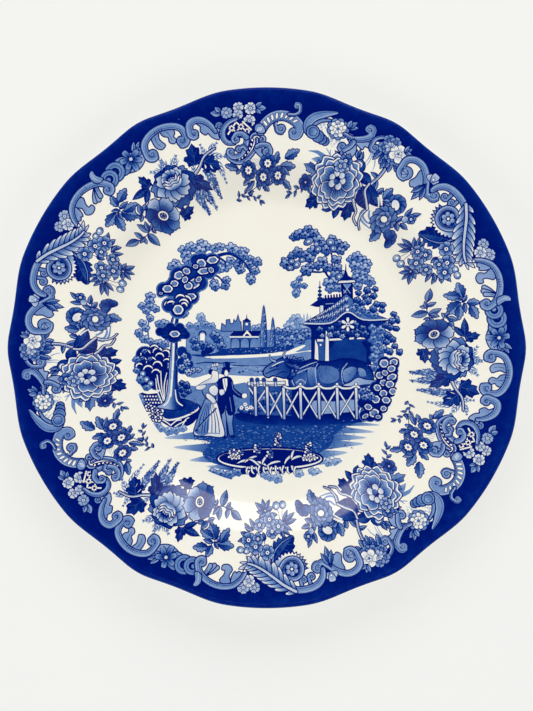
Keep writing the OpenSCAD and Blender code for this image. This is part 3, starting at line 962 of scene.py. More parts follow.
# twisted stem, ribboned leaves and ribbons
leaf(border, (66.6, 105.4), (61.8, 105.8), 1.9, "mid")
leaf(border, (66.4, 104), (69, 97.6), 2.4, "mid")
scroll(border, [(67, 111.2), (66.6, 106), (65, 100.6)], 1.1, 1.2, shine=0.2, tone=0.2)
for i in range(8):
    stroke(border, [(66.2 - 0.1 * i, 110 - 1.2 * i), (67.4 - 0.12 * i, 110.6 - 1.2 * i)], 0.22, 0.16, 0.8)
for points in ([(71, 88.6), (69.6, 84.4), (73.6, 81.4), (82, 81)],
        [(72, 87), (72, 84), (76, 82.6), (80, 83)], [(73.4, 88.4), (76, 85.4), (79.4, 84.6)]):
    stroke(border, points, 1.0, 0.5, 0.4, 0.5)
scroll(border, [(71.6, 88.4), (70.6, 84), (72.4, 79.6), (76, 77)], 1.2, 0.5, shine=0.2, tone=0.1)
leaf(border, (64.6, 99.4), (77.6, 93.4), 6.4, "dark", 0, -0.12)
stroke(border, [(73, 96.8), (75.4, 94.6), (77.8, 91.6)], 1.3, 0.5, 0.05)
leaf(border, (61.4, 96.8), (71, 88), 9, "dark", 0, -0.06)
scroll(border, [(64, 99.8), (64, 95.4), (68, 91.6), (71.8, 88.2)], 1.0, 1.0, shine=0.2, tone=0.06)
scroll(border, [(60.6, 88.4), (63, 86), (66.4, 83.6), (67.4, 80), (72, 78)], 1.2, 0.6, shine=0.2, tone=0.1)
print("dark flowers and peony:", len(border.shapes), "shapes")

# %% Right sprays
leaves(border, (((76.2, 97.6), (76.6, 105), 4.6, 4), ((71.6, 98), (72.4, 102), 2.6, 2),
    ((77, 96.6), (80.8, 99), 2.4, 0), ((78, 95.6), (86, 95.8), 2.8, 2), ((91.6, 92.8), (92, 97.2), 2.4, 0),
    ((94.4, 94), (99.6, 94.6), 2.2, 0), ((92.4, 92.4), (96.4, 90.6), 2.4, 0),
    ((93.4, 98), (92.6, 104), 2.2, 0), ((95.4, 100.6), (98, 105.4), 2.2, 0), ((88.2, 84), (88, 76), 6, 4)))
stroke(border, [(90.6, 92), (93.4, 95), (96, 99)], 0.4, 0.3, 0.85)
stroke(border, [(87, 83.6), (92, 84)], 0.4, 0.3, 0.85)
stroke(border, [(78, 96.2), (84, 99)], 0.4, 0.3, 0.85)
blossom(border, (96.8, 99.8), 2.6, 5, (0.9, 0.4), (0.04, 0.8), 60)
disc(border, (94.4, 97.4), 1.7, 0.4, 0.1, edge=LINE * 0.7)
for degrees in (155, 115, 75, 35, 0, -40):
    petal(border, (84.4, 99.6), degrees, 5.6, 4.6, 1.0, 0.5)
disc(border, (84.2, 99.2), 3.1, 0.02, 0.1, squash=0.72, degrees=-35, edge=LINE)
for i in range(9):
    petal(border, (84.6, 89.2), 40 * i + 15, 7.6, 5.6, 1.0, 0.42, 0.06, LINE, 0.6)
for i in range(7):
    petal(border, (84.6, 89.4), 51 * i, 4.4, 3.8, 0.95, 0.3, edge=LINE * 0.7)
disc(border, (84.8, 89.6), 2.2, 0.02, squash=0.75, edge=LINE * 0.8)
for degrees in (20, 60, 100, 140, -20):
    petal(border, (95.8, 83.2), degrees, 5.6, 4.2, 1.0, 0.6)
disc(border, (95.4, 85.4), 2.4, 0.92, 0.6, squash=0.8)
# flowering clusters under the rosette and the acanthus
leaves(border, (((112, 91.6), (107, 94.6), 2), ((110.6, 91), (103, 89.6), 2), ((111, 90), (103.6, 86.2), 2),
    ((111.4, 89.4), (108.2, 84.6), 2), ((113.6, 95.2), (112, 98), 2), ((112.6, 93.6), (108.6, 97), 1.8),
    ((124, 99), (125.4, 95.6), 1.8), ((124.6, 99.6), (128.4, 96.4), 1.8), ((121, 86), (116, 86), 2),
    ((123.4, 84), (118.6, 82), 2.2), ((124, 83), (121.2, 78.4), 2.4), ((125, 83), (126.4, 78), 2.4),
    ((125.4, 83.6), (131.6, 80), 2.6), ((124.6, 84.6), (130, 84.4), 2.2), ((124, 85), (128, 86.8), 1.8),
    ((135.4, 99), (140.6, 101), 2.2), ((135, 97.6), (139.6, 96.2), 2.4), ((134, 95), (137.8, 91.4), 2.2),
    ((132, 94), (137, 93.6), 1.8), ((131, 93), (134.8, 88.8), 2), ((130, 98.4), (127.4, 96.6), 1.8)))
for points in ([(112, 91), (112, 86), (111.4, 83)], [(114, 90), (114.4, 85), (116, 83)],
        [(122, 88), (124, 84)], [(133.6, 104.6), (135.4, 105.6)], [(124.8, 99), (124, 103)]):
    stroke(border, points, 0.36, 0.3, 0.8)
for centre, radius in (((111, 81), 2.3), ((116, 81.2), 2.4), ((135.2, 105.8), 1.9), ((138.8, 105.6), 2.0),
        ((126.4, 90), 3.2)):
    disc(border, centre, radius, 0.5, 0.16, squash=0.8, edge=LINE * 0.8)
    disc(border, (centre[0], centre[1] + 0.3), radius * 0.36, 0.0, sides=8)
for centre, radius, start in (((122.6, 106.2), 4.1, 70), ((129.8, 103.2), 4.2, 95),
        ((134.4, 99.8), 4.2, 80), ((128.6, 98.8), 3.2, 60), ((119.6, 94.8), 3.6, 100),
        ((115.2, 92.2), 3.7, 85), ((121.2, 88.4), 4.0, 75), ((128, 91.4), 3.4, 100)):
    blossom(border, centre, radius, 5, (0.84, 0.22), (0.04, 0.8), start)
print("the border's strip:", len(border.shapes), "shapes")

# %% [markdown]
# The picture in the well
# The well carries a park scene of the usual kind: two trees that lean in over a river view,
# a couple out walking, a garden pavilion, and an ox that rests behind a rustic fence. It is
# drawn from back to front, pale things far away and dark things near, as an engraver grades
# depth. The figures are tiny and have plain faces.

# %% Foliage for the picture
SPRAY_SQUASH = 0.86
picture = Sheet()


def area(points, tone, tip=None, axis=None, lines=0.0, steps=3):
    """A filled area of the picture with a smooth outline."""
    picture.cut(rounded(points, steps=steps), tone, tip, axis, lines)


def edged(points, tone, tip=None, axis=None, edge=LINE, lines=0.0, ink=DARK, steps=3):
    """An area of the picture with a dark line round it."""
    outlined(picture, rounded(points, steps=steps), tone, tip, axis, edge, lines, ink)


def puff(centre, size, tone=0.36, ink=0.66, seed=0, arcs=3):
    """A spray of rounded leaves of uneven length, lit on top and dark where they spring."""
    lobes = 5 + seed % 2
    outline = []
    for i in range(lobes * 5):
        a = 360 * i / (lobes * 5) + 47 * seed
        uneven = 0.8 + 0.36 * ((7 * (i // 5) ** 2 + 5 * seed) % 10) / 10
        swell = abs(math.sin(math.radians(a * lobes / 2 - 23.5 * seed * lobes))) ** 0.6
        reach = size * uneven * (0.52 + 0.58 * swell)
        outline.append((centre[0] + reach * math.cos(math.radians(a)),
            centre[1] + SPRAY_SQUASH * reach * math.sin(math.radians(a))))
    outlined(picture, outline, min(1.0, tone * 1.8), tone * 0.35, (polar(centre, size, 250),
        polar(centre, size, 80)), LINE * 0.8, 0.0, ink)
    for i in range(arcs):
        a = 205 + 62 * i + 11 * (seed % 3)
        path = [polar(centre, size * 0.2, 60), polar(centre, size * (0.5 + 0.12 * ((i + seed) % 3)), a)]
        picture.cut(ribbon(path, 0.3 + 0.2 * size, 0.24), min(1.0, ink + 0.14))


def puffs(spots, size, tone=0.36, ink=0.66, arcs=3):
    """Several sprays, a little uneven in size."""
    for i, spot in enumerate(spots):
        puff(spot, size * (0.86 + 0.09 * (i * 7 % 4)), tone, ink, i, arcs)


def mass(spots, tone=0.97, rim=0.0):
    """A body of foliage made of round lobes, each given as x, y and radius."""
    if rim:
        for x, y, size in spots:
            disc(picture, (x, y), size + rim, 0.55, sides=16)
    for x, y, size in spots:
        disc(picture, (x, y), size, tone, sides=16)


def lit_lobe(x, y, size, squash=0.8, lean=0):
    """A lobe of leaves that catches the light: a white scalloped rim round a blue heart."""
    ring = []
    for i in range(24):
        reach = size * (0.94 + 0.14 * abs(math.sin(math.radians(45 * i + 30 * size))))
        ring.append((reach * math.cos(math.tau * i / 24), squash * reach * math.sin(math.tau * i / 24)))
    outlined(picture, turn(ring, (x, y), lean), 0.02, 0.1, edge=0.9)
    disc(picture, (x, y), size * 0.7, 0.6, 0.3, squash=squash, degrees=lean, edge=0.14, sides=14)
    stroke(picture, [polar((x, y), size * 0.4, lean + a) for a in (150, 200, 260)], 0.5, 0.3, 0.9)


def lit_arc(x, y, size, start, end, width=0.9):
    """A white crescent with a dark line under it, as on a tuft seen from the side."""
    arc = [polar((x, y), size, start + (end - start) * i / 6) for i in range(7)]
    picture.cut(ribbon(arc, width * 0.5 + 2 * LINE, width * 0.3 + 2 * LINE, width, caps=True), 1.0)
    picture.cut(ribbon(arc, width * 0.5, width * 0.2, width * 0.7, caps=True), 0.04)


def dashes(box, count, seed, tones, length=1.2, thick=0.34, lean=0):
    """Short seeded strokes that roughen an area, as grass or leaves do."""
    rng = random.Random(seed)
    for _ in range(count):
        x, y = rng.uniform(box[0], box[2]), rng.uniform(box[1], box[3])
        a = math.radians(lean + rng.uniform(-24, 24))
        half = length * rng.uniform(0.35, 0.7)
        dx, dy = half * math.cos(a), half * math.sin(a)
        tone = rng.choice(tones)
        picture.cut([(x - dx, y - dy), (x, y - thick / 2), (x + dx, y + dy), (x, y + thick / 2)], tone)


# %% Far bank, park building and poplars
FAR = 0.42
edged([(-42, -9), (-41.8, 11.6), (-39.6, 12.6), (-37.4, 10.6), (-34.6, 13), (-31, 13.2), (-28.8, 12),
    (-27, 10), (-24.4, 9.2), (-21.6, 10), (-19, 9), (-18, -2), (-24, -4), (-34, -6)], FAR, FAR,
    edge=LINE * 0.6, ink=0.6)
puff((-34.8, 16.2), 2.4, 0.26, 0.45, 1)
puffs([(-40.6, 11.8), (-36.4, 11.6), (-32.6, 12.4), (-29.4, 11.6)], 1.9, 0.34, 0.55)
dashes((-41, -3, -20, 8), 90, 5, (0.2, 0.66, 0.72, 0.3), 1.0, 0.4, 20)
puffs([(-38.2, 3.6), (-33.6, 1.8), (-25.4, 4.4), (-37.6, 0.4), (-29.8, 0.2), (-24, 0.6), (-27.6, 6.4)], 2.3,
    0.5, 0.82)
picture.cut([(-35.2, 4), (-32.8, 4), (-32.8, 7.6), (-35.2, 7.6)], 0.0)
stroke(picture, [(-35.9, 6.6), (-35.4, 8.2), (-34, 8.9), (-32.6, 8.2), (-32.1, 6.6)], 0.9, 0.9, 0.9)
# the building with its battlements, turret and arcade
outlined(picture, [(-24, 9), (-23.6, 12.6), (-22.6, 12), (-21.6, 10.6), (-21.2, 14.6), (-19.8, 14.8),
    (-19.5, 12.8), (-17.6, 12.6), (-17.3, 14.6), (-16.6, 13.6), (-15.9, 14.2), (-15.2, 17.2), (-14.6, 14.2),
    (-13.9, 13.6), (-13.5, 9)], 0.5, edge=LINE * 0.8, ink=0.85)
outlined(picture, [(-12.4, 9), (-12.2, 14.2), (-9, 14.2), (-8.8, 9)], 0.62, edge=LINE * 0.8)
picture.cut([(-12.8, 13.8), (-11.4, 15.4), (-10.9, 15.6), (-10.6, 18.4), (-10.3, 15.6), (-9.8, 15.4),
    (-8.4, 13.8)], 0.97)
disc(picture, (-10.6, 12.6), 0.7, 0.0)
puffs([(-6.6, 10.4), (-4.4, 10.6)], 1.8, 0.3, 0.55)
picture.cut([(-19.8, 6.2), (-17.6, 9), (-3, 9), (-3, 6.2)], 0.96)
picture.cut([(-19.8, 6.2), (-3, 6.2), (-3, 5.4), (-19.4, 5.4)], 0.06)
picture.cut([(-19.2, 5.4), (-3, 5.4), (-3, -0.8), (-19.2, -0.8)], 0.66)
for x in (-16.6, -11.6, -6.6):
    arch = [(x - 2.1, -0.8)] + [polar((x, 3), 2.1, 180 - 30 * i) for i in range(7)] + [(x + 2.1, -0.8)]
    outlined(picture, arch, 0.36, 0.5, edge=LINE * 0.7, ink=0.9)
picture.cut([(-12.8, 6.3), (-10.4, 9.4), (-8, 6.3)], 0.0)
picture.cut([polar((-10.4, 6.3), 1.2, 30 * i) for i in range(7)], 0.97)
# trees to the right of it
puffs([(13.6, 13.4), (17, 12.6), (15.4, 15.4), (12, 11.4)], 3.0, 0.26, 0.42)
for x, top, half in ((19.6, 18.4, 0.8), (21.4, 18.8, 0.8), (23, 17.4, 0.7)):
    area([(x, top), (x + half, top - 5), (x + half, 6), (x - half, 6), (x - half, top - 5)], 0.24, steps=2)
area([(-3, 8.4), (3, 9.6), (8, 10.2), (14, 9.8), (20, 10.6), (24, 10), (24.4, -1), (-3, -1)], 0.46)
puffs([(6.4, 8.6), (10.6, 8.4), (15, 7.6), (19.6, 8.2), (8, 4.6), (13, 4), (18, 4.2), (22, 6.4), (5.6, 2),
    (11, 1.2)], 2.4, 0.44, 0.74)
dashes((0, -0.5, 24, 9), 70, 6, (0.24, 0.74, 0.8), 0.9, 0.4, 40)
for x, top, half in ((-1.6, 22.2, 1.3), (3.2, 15.8, 1.2)):
    tree = rounded([(x, top), (x + half * 0.6, top - 5), (x + half, top - 11), (x + half, 0), (x - half, 0),
        (x - half, top - 11), (x - half * 0.6, top - 5)])
    outlined(picture, tree, 0.42, 0.78, ((x - half, 5), (x + half, 5)), LINE * 0.6, 0.0, 0.8)
    dashes((x - half, 1, x + half * 0.8, top - 4), 40, int(x * 10) + 50, (0.15, 0.9, 0.7), 1.5, 0.5, 64)

# %% River, hedge and near bank
area([(-42, -3.4), (-30, -3.2), (-20, -0.2), (-4, 0.4), (8, 0.6), (14, 1.4), (13, -0.2), (4, -2.6),
    (-10, -3.6), (-22, -4), (-32, -5)], 0.8)
dashes((-22, -2.8, 10, 0.2), 60, 7, (0.3, 0.98, 0.5), 0.8, 0.5)
area([(-31, -4.4), (-14, -3.9), (2, -3.2), (10, -2), (14, -0.4), (19.4, 1.6), (19.8, 0.6), (12, -3.2),
    (0, -4.6), (-16, -5.4), (-31, -5.2)], 0.0)
area([(-41, -5.4), (-28, -5.6), (-14, -5.4), (0, -4.6), (12, -3.4), (24, -2), (24, -9), (12, -9.6),
    (0, -9.8), (-18, -9.6), (-42, -8.8)], 0.44, None, ((0, -5), (0, -10)), 0.8)
stroke(picture, [(-37.4, -8.4), (-32, -7.6), (-24, -8), (-16, -7.6)], 0.5, 0.3, 0.85, 0.3)
stroke(picture, [(-18, -9.2), (-8, -9.6), (0, -9.2)], 0.6, 0.5, 0.88)
mass([(-33.4, -2.6, 1.5), (-31.4, -1.6, 1.7), (-29.8, -1.4, 1.3)], 0.95)
stroke(picture, [(-33.6, -2.6), (-33.8, -4.8)], 0.5, 0.4)
stroke(picture, [(-30.4, -2), (-30.2, -4.6)], 0.5, 0.4)
area([(-42, -8.6), (-34, -9.2), (-18, -9.8), (0, -9.8), (0, -14.4), (-10, -14.8), (-22, -14.2),
    (-30, -13.6), (-38, -15.8), (-43, -14)], 0.4)
dashes((-40, -13.6, 0, -10), 60, 8, (0.2, 0.6, 0.7), 1.2, 0.4)
for x, y in ((-14.4, -12.8), (-12.6, -12.4), (-4.6, -12.6), (-2.4, -12.4)):
    disc(picture, (x, y), 0.7, 0.9, squash=0.6, sides=8)
area([(-49, -20), (-36, -20.4), (-20, -19.8), (-9, -19.2), (-8, -35), (-20, -36), (-49, -36)], 0.46, 0.5,
    None, 0.6)
dashes((-44, -34, -12, -21), 90, 9, (0.34, 0.58, 0.66), 1.6, 0.34)
print("far things:", len(picture.shapes), "shapes")

# %% [markdown]
# Lawn and flower bed
# The lawn ends in brushed streaks on both sides, each fading towards its tip. The bed is an
# oval of dark earth with a white kerb, and plants that spill over it.

# %% Lawn and flower bed
LAWN = 0.74
for root, tip, width in (((-30, -45.6), (-54.4, -47.6), 4.6), ((-28, -53), (-49.6, -52.4), 4.6),
        ((-26, -58), (-41, -59.4), 4.4), ((-18, -63), (-32, -62.6), 3.2), ((32, -42.8), (57, -44.4), 4.2),
        ((40, -39.6), (60.6, -40.8), 2.6), ((28, -51), (51.4, -50.6), 5.0), ((20, -56.6), (43, -55.2), 5.6),
        ((30, -47), (53, -47.4), 4.4), ((18, -61), (34, -60.6), 3.4)):
    half = width / 2
    shape = [(root[0], root[1] + half), ((root[0] + tip[0]) / 2, (root[1] + tip[1]) / 2 + half * 0.7), tip,
        ((root[0] + tip[0]) / 2, (root[1] + tip[1]) / 2 - half * 0.7), (root[0], root[1] - half)]
    area(shape, LAWN, 0.16, (root, tip))
area([(-38, -44.6), (-36, -38), (-26, -35.6), (-10, -34.4), (10, -34.6), (40, -35), (54, -37.6),
    (48, -39.4), (41, -42), (36, -46), (34, -51), (26, -57), (20, -62), (10, -64), (-12, -64), (-28, -61),
    (-34, -56), (-30, -50), (-38, -48)], LAWN, 0.7, ((0, -36), (0, -62)))
area([(-16, -34.4), (0, -35), (20, -34.8), (45, -35), (56, -37.8), (46, -39.6), (20, -41.2), (0, -40.6),
    (-14, -38.6)], 0.97, 0.8, ((0, -36), (0, -41)))
dashes((-34, -61, 36, -41), 620, 10, (0.4, 0.5, 0.95, 1.0, 0.6), 1.2, 0.5)
dashes((-44, -49, -30, -46), 30, 11, (0.4, 0.8), 1.2, 0.4)
dashes((34, -53, 46, -38), 60, 12, (0.4, 0.82), 1.4, 0.4)


def oval(x, y, wide, high, sides=40):
    """Points round an oval."""
    return [(x + wide * math.cos(math.tau * i / sides), y + high * math.sin(math.tau * i / sides))
        for i in range(sides)]


puffs([(-28.4, -65.6), (-24.4, -66.6), (-19.8, -66.8), (-15.4, -65.6)], 2.5, 0.4, 0.6)
puffs([(2, -68.6), (5.6, -68.8), (-0.6, -66.8), (16.8, -66.4), (23.8, -65.2), (26.4, -66.4), (32.6, -60.6),
    (37.2, -60.2)], 2.3, 0.26, 0.42)
outlined(picture, oval(1.6, -58.6, 28.0, 6.0), 0.9)
picture.cut(oval(1.6, -58.7, 27.5, 5.5), 0.05)
picture.cut(oval(1.6, -58.3, 26.9, 4.9), 1.0)
mass([(-12, -65, 1.9), (-7.4, -66.4, 2.2), (-4, -64.6, 2.0), (8, -64.6, 2.1), (12.4, -64.2, 2.0)], 0.94)
for x, y, size, lean in ((-11.6, -59.8, 4.4, 14), (-8.6, -58.6, 3.8, 30), (-3.2, -61, 3.6, -16),
        (-6.4, -60.6, 4, -34), (3.6, -60.8, 3.8, 20), (-1, -58.8, 3.4, 60), (11.4, -58.6, 3.6, 50),
        (13.6, -56.6, 3, 80), (15.6, -58, 3, 24)):
    blade = turn([(-size, -0.2), (-size * 0.3, 0.9), (size * 0.6, 0.5), (size, -0.6), (size * 0.4, -0.3),
        (-size * 0.4, -0.1)], (x, y), lean)
    edged(blade, 0.04, 0.12, edge=LINE * 0.8, steps=2)
for i in range(13):
    x = -10 + 2.1 * i
    lean = 235 + 70 * (i % 3) / 2
    arc = [(x, -62.8 + 0.6 * (i % 2)), polar((x, -63.6), 1.5, lean), polar((x, -64.6), 2.4, lean + 34)]
    picture.cut(ribbon(rounded(arc, False), 1.5, 0.8, 0.3), 1.0)
    picture.cut(ribbon(rounded(arc, False), 0.8, 0.3, 0.2), 0.05)
for x, y, tall in ((-18.4, -56.4, 5), (-5, -53.6, 4.6), (6, -50, 7.6), (22, -54, 6.4), (-14, -54.6, 3),
        (1.6, -56, 4.2)):
    for i in range(int(tall * 2.6)):
        spot = (x + 1.7 * math.sin(2.4 * i) * (1 - 0.4 * i / (tall * 2.6)), y - 1.8 + 0.4 * i)
        disc(picture, spot, 0.62, 0.06 if i % 3 else 0.6, edge=LINE * 0.7, sides=7)
for i in range(22):
    spot = (22.6 + 4.6 * math.sin(2.4 * i) * (0.3 + 0.03 * i),
        -58 + 2.0 * math.cos(2.4 * i) * (0.3 + 0.03 * i))
    disc(picture, spot, 0.6, 0.04, edge=LINE * 0.5, sides=6)
for i in range(16):
    spot = (-17 + 3.4 * math.sin(2.4 * i) * (0.3 + 0.04 * i),
        -57.4 + 1.7 * math.cos(2.4 * i) * (0.3 + 0.04 * i))
    disc(picture, spot, 0.55, 0.04, edge=LINE * 0.5, sides=6)
print("lawn and bed:", len(picture.shapes), "shapes")

# %% [markdown]
# The left tree
# A leaning trunk rises out of a round planter, with a dark shrub on its left. The crown is
# built as an engraver builds it: a dark body, pale sprays behind, and lit lobes in front.

# %% Left tree, its planter and its shrub
# a pale shrub behind
stroke(picture, [(-60, -3), (-62.6, 6), (-62.4, 15), (-61.4, 24)], 1.1, 0.6, 0.5)
for spot, size in (((-61.8, 27.2), 2.5), ((-62, 24.6), 2.2), ((-65.6, 22), 2.0), ((-62, 21.6), 2.2),
        ((-58.6, 20.6), 2.2), ((-64, 19.6), 1.9), ((-61.6, 15.6), 1.9), ((-65.8, 12.8), 2.0),
        ((-64.2, 10.4), 1.9), ((-67.6, 8), 2.2), ((-64.6, 4.6), 2.4), ((-61.4, 3.2), 1.8),
        ((-57.6, 2.4), 2.4), ((-53.6, 2.2), 2.0), ((-57, 12.6), 2.2), ((-54.2, 12.8), 2.2)):
    puff(spot, size, 0.34, 0.66, int(spot[0] * 3) % 7)
# planter
edged([(-59, -33), (-57.6, -36.4), (-52, -40.6), (-46, -41.6), (-39, -39), (-36, -33), (-36.6, -30),
    (-48, -27)], 0.97)
area([(-59, -33.6), (-56, -36.4), (-52, -38.6), (-44, -37), (-36.4, -33), (-36.8, -30), (-41, -28),
    (-48, -27.4), (-56, -30)], 0.06)
area([(-58.6, -33.2), (-55.6, -35.6), (-52, -37.6), (-44, -36), (-36.8, -32.2), (-36.8, -30), (-41, -28),
    (-48, -27.4), (-56, -30)], 0.82)
dashes((-56, -35, -38, -29), 40, 14, (0.95, 0.7), 1.4, 0.4)
for path in (((-55, -38), (-52.4, -39.6), (-50.4, -41.2)), ((-50.6, -40.8), (-47.6, -38.4), (-45, -38)),
        ((-48.6, -41.6), (-46, -40), (-42.6, -38.4)), ((-44.6, -41), (-42.8, -37.8), (-41, -36.8))):
    stroke(picture, path, 0.6, 0.5, 0.04)
puffs([(-55.6, -42.8), (-51.8, -43.8), (-48, -43.4), (-44.6, -42.6), (-58, -40.6)], 2.0, 0.3, 0.5)
# basket of leaves and flowers at its left
edged([(-66.4, -24), (-63, -24.6), (-56, -24.4), (-54, -28), (-57, -33), (-63, -33), (-66.6, -28.6)], 0.95,
    edge=0.3)
for i in range(26):
    row, column = divmod(i, 7)
    disc(picture, (-64.6 + 1.5 * column + 0.75 * (row % 2), -25.6 - 1.7 * row), 0.48, 0.06, sides=7)
puffs([(-66.6, -25.8), (-66, -28.4)], 1.5, 0.4, 0.6, arcs=1)
for x, y in ((-62.4, -31.4), (-59.2, -32.6), (-56.4, -33.6), (-60.4, -36.6), (-57.4, -37.2)):
    blossom(picture, (x, y), 2.0, 5, (0.12, 0.02), (0.7, 0.1), 90, LINE)
# dark shrub with lit curls
mass([(-64.4, -4, 4.6), (-58, -3, 4.4), (-53.6, -4.4, 3.6), (-62, -9, 4.6), (-57, -9, 4.6),
    (-66.4, -9.6, 3.4), (-60, -14, 4.4), (-64.4, -14.6, 3.6), (-64, -18, 2.8), (-58.4, -18.4, 3.6),
    (-55.6, -13.6, 4.2), (-53.6, -20, 3.4), (-55, -25, 2.4)], 0.97, 0.5)
for arc in ((-64, -3.6, 2.6, 20, 200), (-57.6, -2.6, 2.6, 0, 180), (-56.6, -5, 2.2, 10, 170),
        (-53.4, -3.4, 2.2, -40, 140), (-61, -7.6, 2.6, 30, 190), (-65.6, -7.4, 2.4, 30, 210),
        (-57.8, -9.6, 2.4, 0, 170), (-62.6, -12, 2.6, 20, 190), (-67.2, -10, 1.8, 40, 210),
        (-58.6, -13.6, 2.2, 20, 170), (-52.8, -8, 2.2, -20, 150), (-59.4, -1, 2.4, 30, 150)):
    lit_arc(*arc, 0.8)
for x, y, size in ((-64.6, -1.6, 1.5), (-61.8, -5.8, 1.2), (-65.8, -5.4, 1.1)):
    puff((x, y), size, 0.4, 0.95, 2)
for x, y in ((-63.4, -16.6), (-65.4, -13.6), (-61.2, -18.8)):
    disc(picture, (x, y), 1.5, 0.6, 0.3, edge=LINE)
    disc(picture, (x, y), 0.6, 0.04)
puffs([(-68.6, -12), (-66.8, -16.6), (-68.8, -6), (-63.6, -21)], 1.8, 0.42, 0.66)
for path in (((-58, -14), (-57, -20), (-54.6, -28)), ((-56, -12), (-55.6, -20), (-54.4, -27)),
        ((-52.8, -13), (-54.2, -20), (-54, -28)), ((-58.6, -16), (-58, -22), (-55.4, -29)),
        ((-52.4, -17), (-53, -23), (-53.6, -29))):
    stroke(picture, path, 0.4, 0.5, 0.06, 0.1)
# trunk
edged([(-58, -31), (-53.8, -28.6), (-52, -20), (-51.2, -8), (-50.2, 4), (-50.6, 12), (-48.6, 18),
    (-46.8, 18), (-47.6, 11), (-47.6, 2), (-47.4, -8), (-47.6, -18), (-46.4, -26), (-43.4, -30.6),
    (-48, -32.6), (-54, -32)], 0.3, 0.92, ((-51.4, 0), (-47.4, 0)), LINE, 0.8)
stroke(picture, [(-50.8, -26), (-49.8, -12), (-49.2, 2), (-49.2, 12), (-48.2, 17)], 0.9, 0.6, 0.04, 0.3)
stroke(picture, [(-54.6, -30.6), (-52, -28), (-50.6, -22)], 0.8, 0.4, 0.06, 0.2)
stroke(picture, [(-44.4, -30.6), (-47.4, -28), (-48.4, -22)], 0.6, 0.4, 0.06, 0.2)
dashes((-50.6, -26, -48, 14), 60, 15, (0.75, 0.95, 0.5), 1.0, 0.4, 70)
# leaves on the trunk
mass([(-53, 8, 3.2), (-49, 7, 4.2), (-45, 8, 3.2), (-56.4, 8.6, 2.2), (-42.6, 6.8, 2.0), (-51, 10.6, 2.6),
    (-46, 10.6, 2.4)], 0.95, 0.4)
for degrees in range(0, 360, 24):
    stroke(picture, [polar((-49, 7.6), 3.6, degrees), polar((-49, 7.6),
        7.6 - 2.6 * abs(math.sin(math.radians(degrees))), degrees)], 1.3, 0.4, 0.86)
lit_lobe(-48.6, 7.4, 2.6, 0.62)
mass([(-44.8, -2, 2.6), (-42.6, -5, 2.8), (-44.8, -8, 2.8), (-40.6, -8.6, 1.8), (-44.6, -11.4, 2.2)], 0.85,
    0.4)
puffs([(-43.4, -4.2), (-42.2, -7.4), (-45, -10), (-39.4, -12), (-36.4, -11.6), (-41.4, -13)], 1.7, 0.26,
    0.8)
puffs([(-44.6, -18.6), (-42.4, -19.6), (-45.4, -21.6), (-41.6, -23), (-44, -24.6)], 1.6, 0.7, 0.95)
print("left tree, lower half:", len(picture.shapes), "shapes")

# %% Crown of the left tree
# sprays behind
puffs([(-44.2, 51.8), (-40.4, 53.2), (-42.4, 49.2), (-37.6, 53), (-34.8, 55.4), (-32.6, 53.4),
    (-35.4, 51.2), (-41.6, 46), (-47.8, 44.8), (-46.4, 42.4), (-49.8, 43.4), (-27.6, 52.6), (-24.8, 53.4),
    (-18.6, 52.6), (-15.2, 51), (-12, 51), (-19, 46.2), (-22, 43.2), (-24.6, 44.8), (-25, 41.6)], 2.6, 0.3,
    0.7)
puffs([(-8.4, 47), (-5, 45.6), (-9.4, 44), (-6.2, 40.6), (-8.8, 38), (-8.4, 35.8), (-15.4, 43.4),
    (-13.8, 41), (-14, 46), (-12.4, 48.6), (-22, 33), (-21.6, 35.8), (-28, 34.6), (-27.4, 32.4),
    (-33.6, 33.6), (-43.6, 18)], 2.2, 0.38, 0.74)
for path, width in ((((-32, 45), (-26, 48.6), (-20, 49.8), (-15, 47.4), (-10.6, 43.6), (-8.4, 38.6)), 2.3),
        (((-36, 40), (-30, 39), (-25.6, 37.6), (-22.4, 34)), 1.7), (((-30, 38.6), (-27.6, 36)), 1.4),
        (((-26, 48), (-22.6, 46), (-21.6, 43)), 1.3), (((-14, 46.6), (-14.4, 43.4)), 1.1),
        (((-46.6, 16), (-47, 20), (-44, 28), (-40, 36)), 2.4)):
    stroke(picture, path, width, 0.6, 0.86)
mass([(-46.8, 20, 4.0), (-43.6, 23.6, 4.0), (-46.4, 26.6, 3.0), (-51.6, 22.6, 3.4), (-39.8, 27, 3.6),
    (-54.6, 31, 3.2), (-50.4, 31.4, 4.2), (-48.4, 35, 3.4), (-46.6, 38.4, 4.2), (-42.4, 40, 3.6),
    (-44, 33, 5), (-39.6, 34, 5.6), (-35.4, 34.4, 3.8), (-35.4, 42.4, 4.6), (-34.4, 45.6, 4.2),
    (-29, 46, 3.6), (-31, 41, 4.2), (-37.4, 46.4, 2.8), (-56, 28.8, 1.6), (-27.4, 41.8, 2.2),
    (-38, 38.4, 3)], 0.84, 0.8)
for spot in ((-46.4, 38.4, 2.5, 0.8, 20), (-48.8, 34, 2.0), (-52.4, 31.2, 2.6, 0.72),
        (-42.4, 40.6, 1.9, 0.8, -30), (-38.4, 34, 3.0, 0.8, 30), (-41.4, 32.8, 2.1, 0.9),
        (-36, 36.2, 1.6, 0.8, 40), (-43.2, 36, 1.7, 0.8, 60), (-40, 27.2, 2.6, 0.6),
        (-46.8, 20.2, 2.6, 0.96), (-34.6, 44.6, 2.2, 1.1, 60), (-28.6, 46.4, 2.9, 0.62, 8),
        (-33.2, 40.6, 3.2, 0.5, 8), (-37.6, 43, 1.3), (-29.4, 41.2, 1.5, 0.8, -50), (-56, 28.8, 0.9)):
    lit_lobe(*spot)
for arc in ((-51.6, 22, 2.6, 30, 170), (-50.4, 21.6, 3.0, 60, 140), (-44, 23, 2.6, 20, 150),
        (-43, 24.4, 3.0, 10, 120), (-45.6, 25.4, 2.6, 40, 160), (-43.8, 22.2, 1.6, 0, 150)):
    lit_arc(*arc)
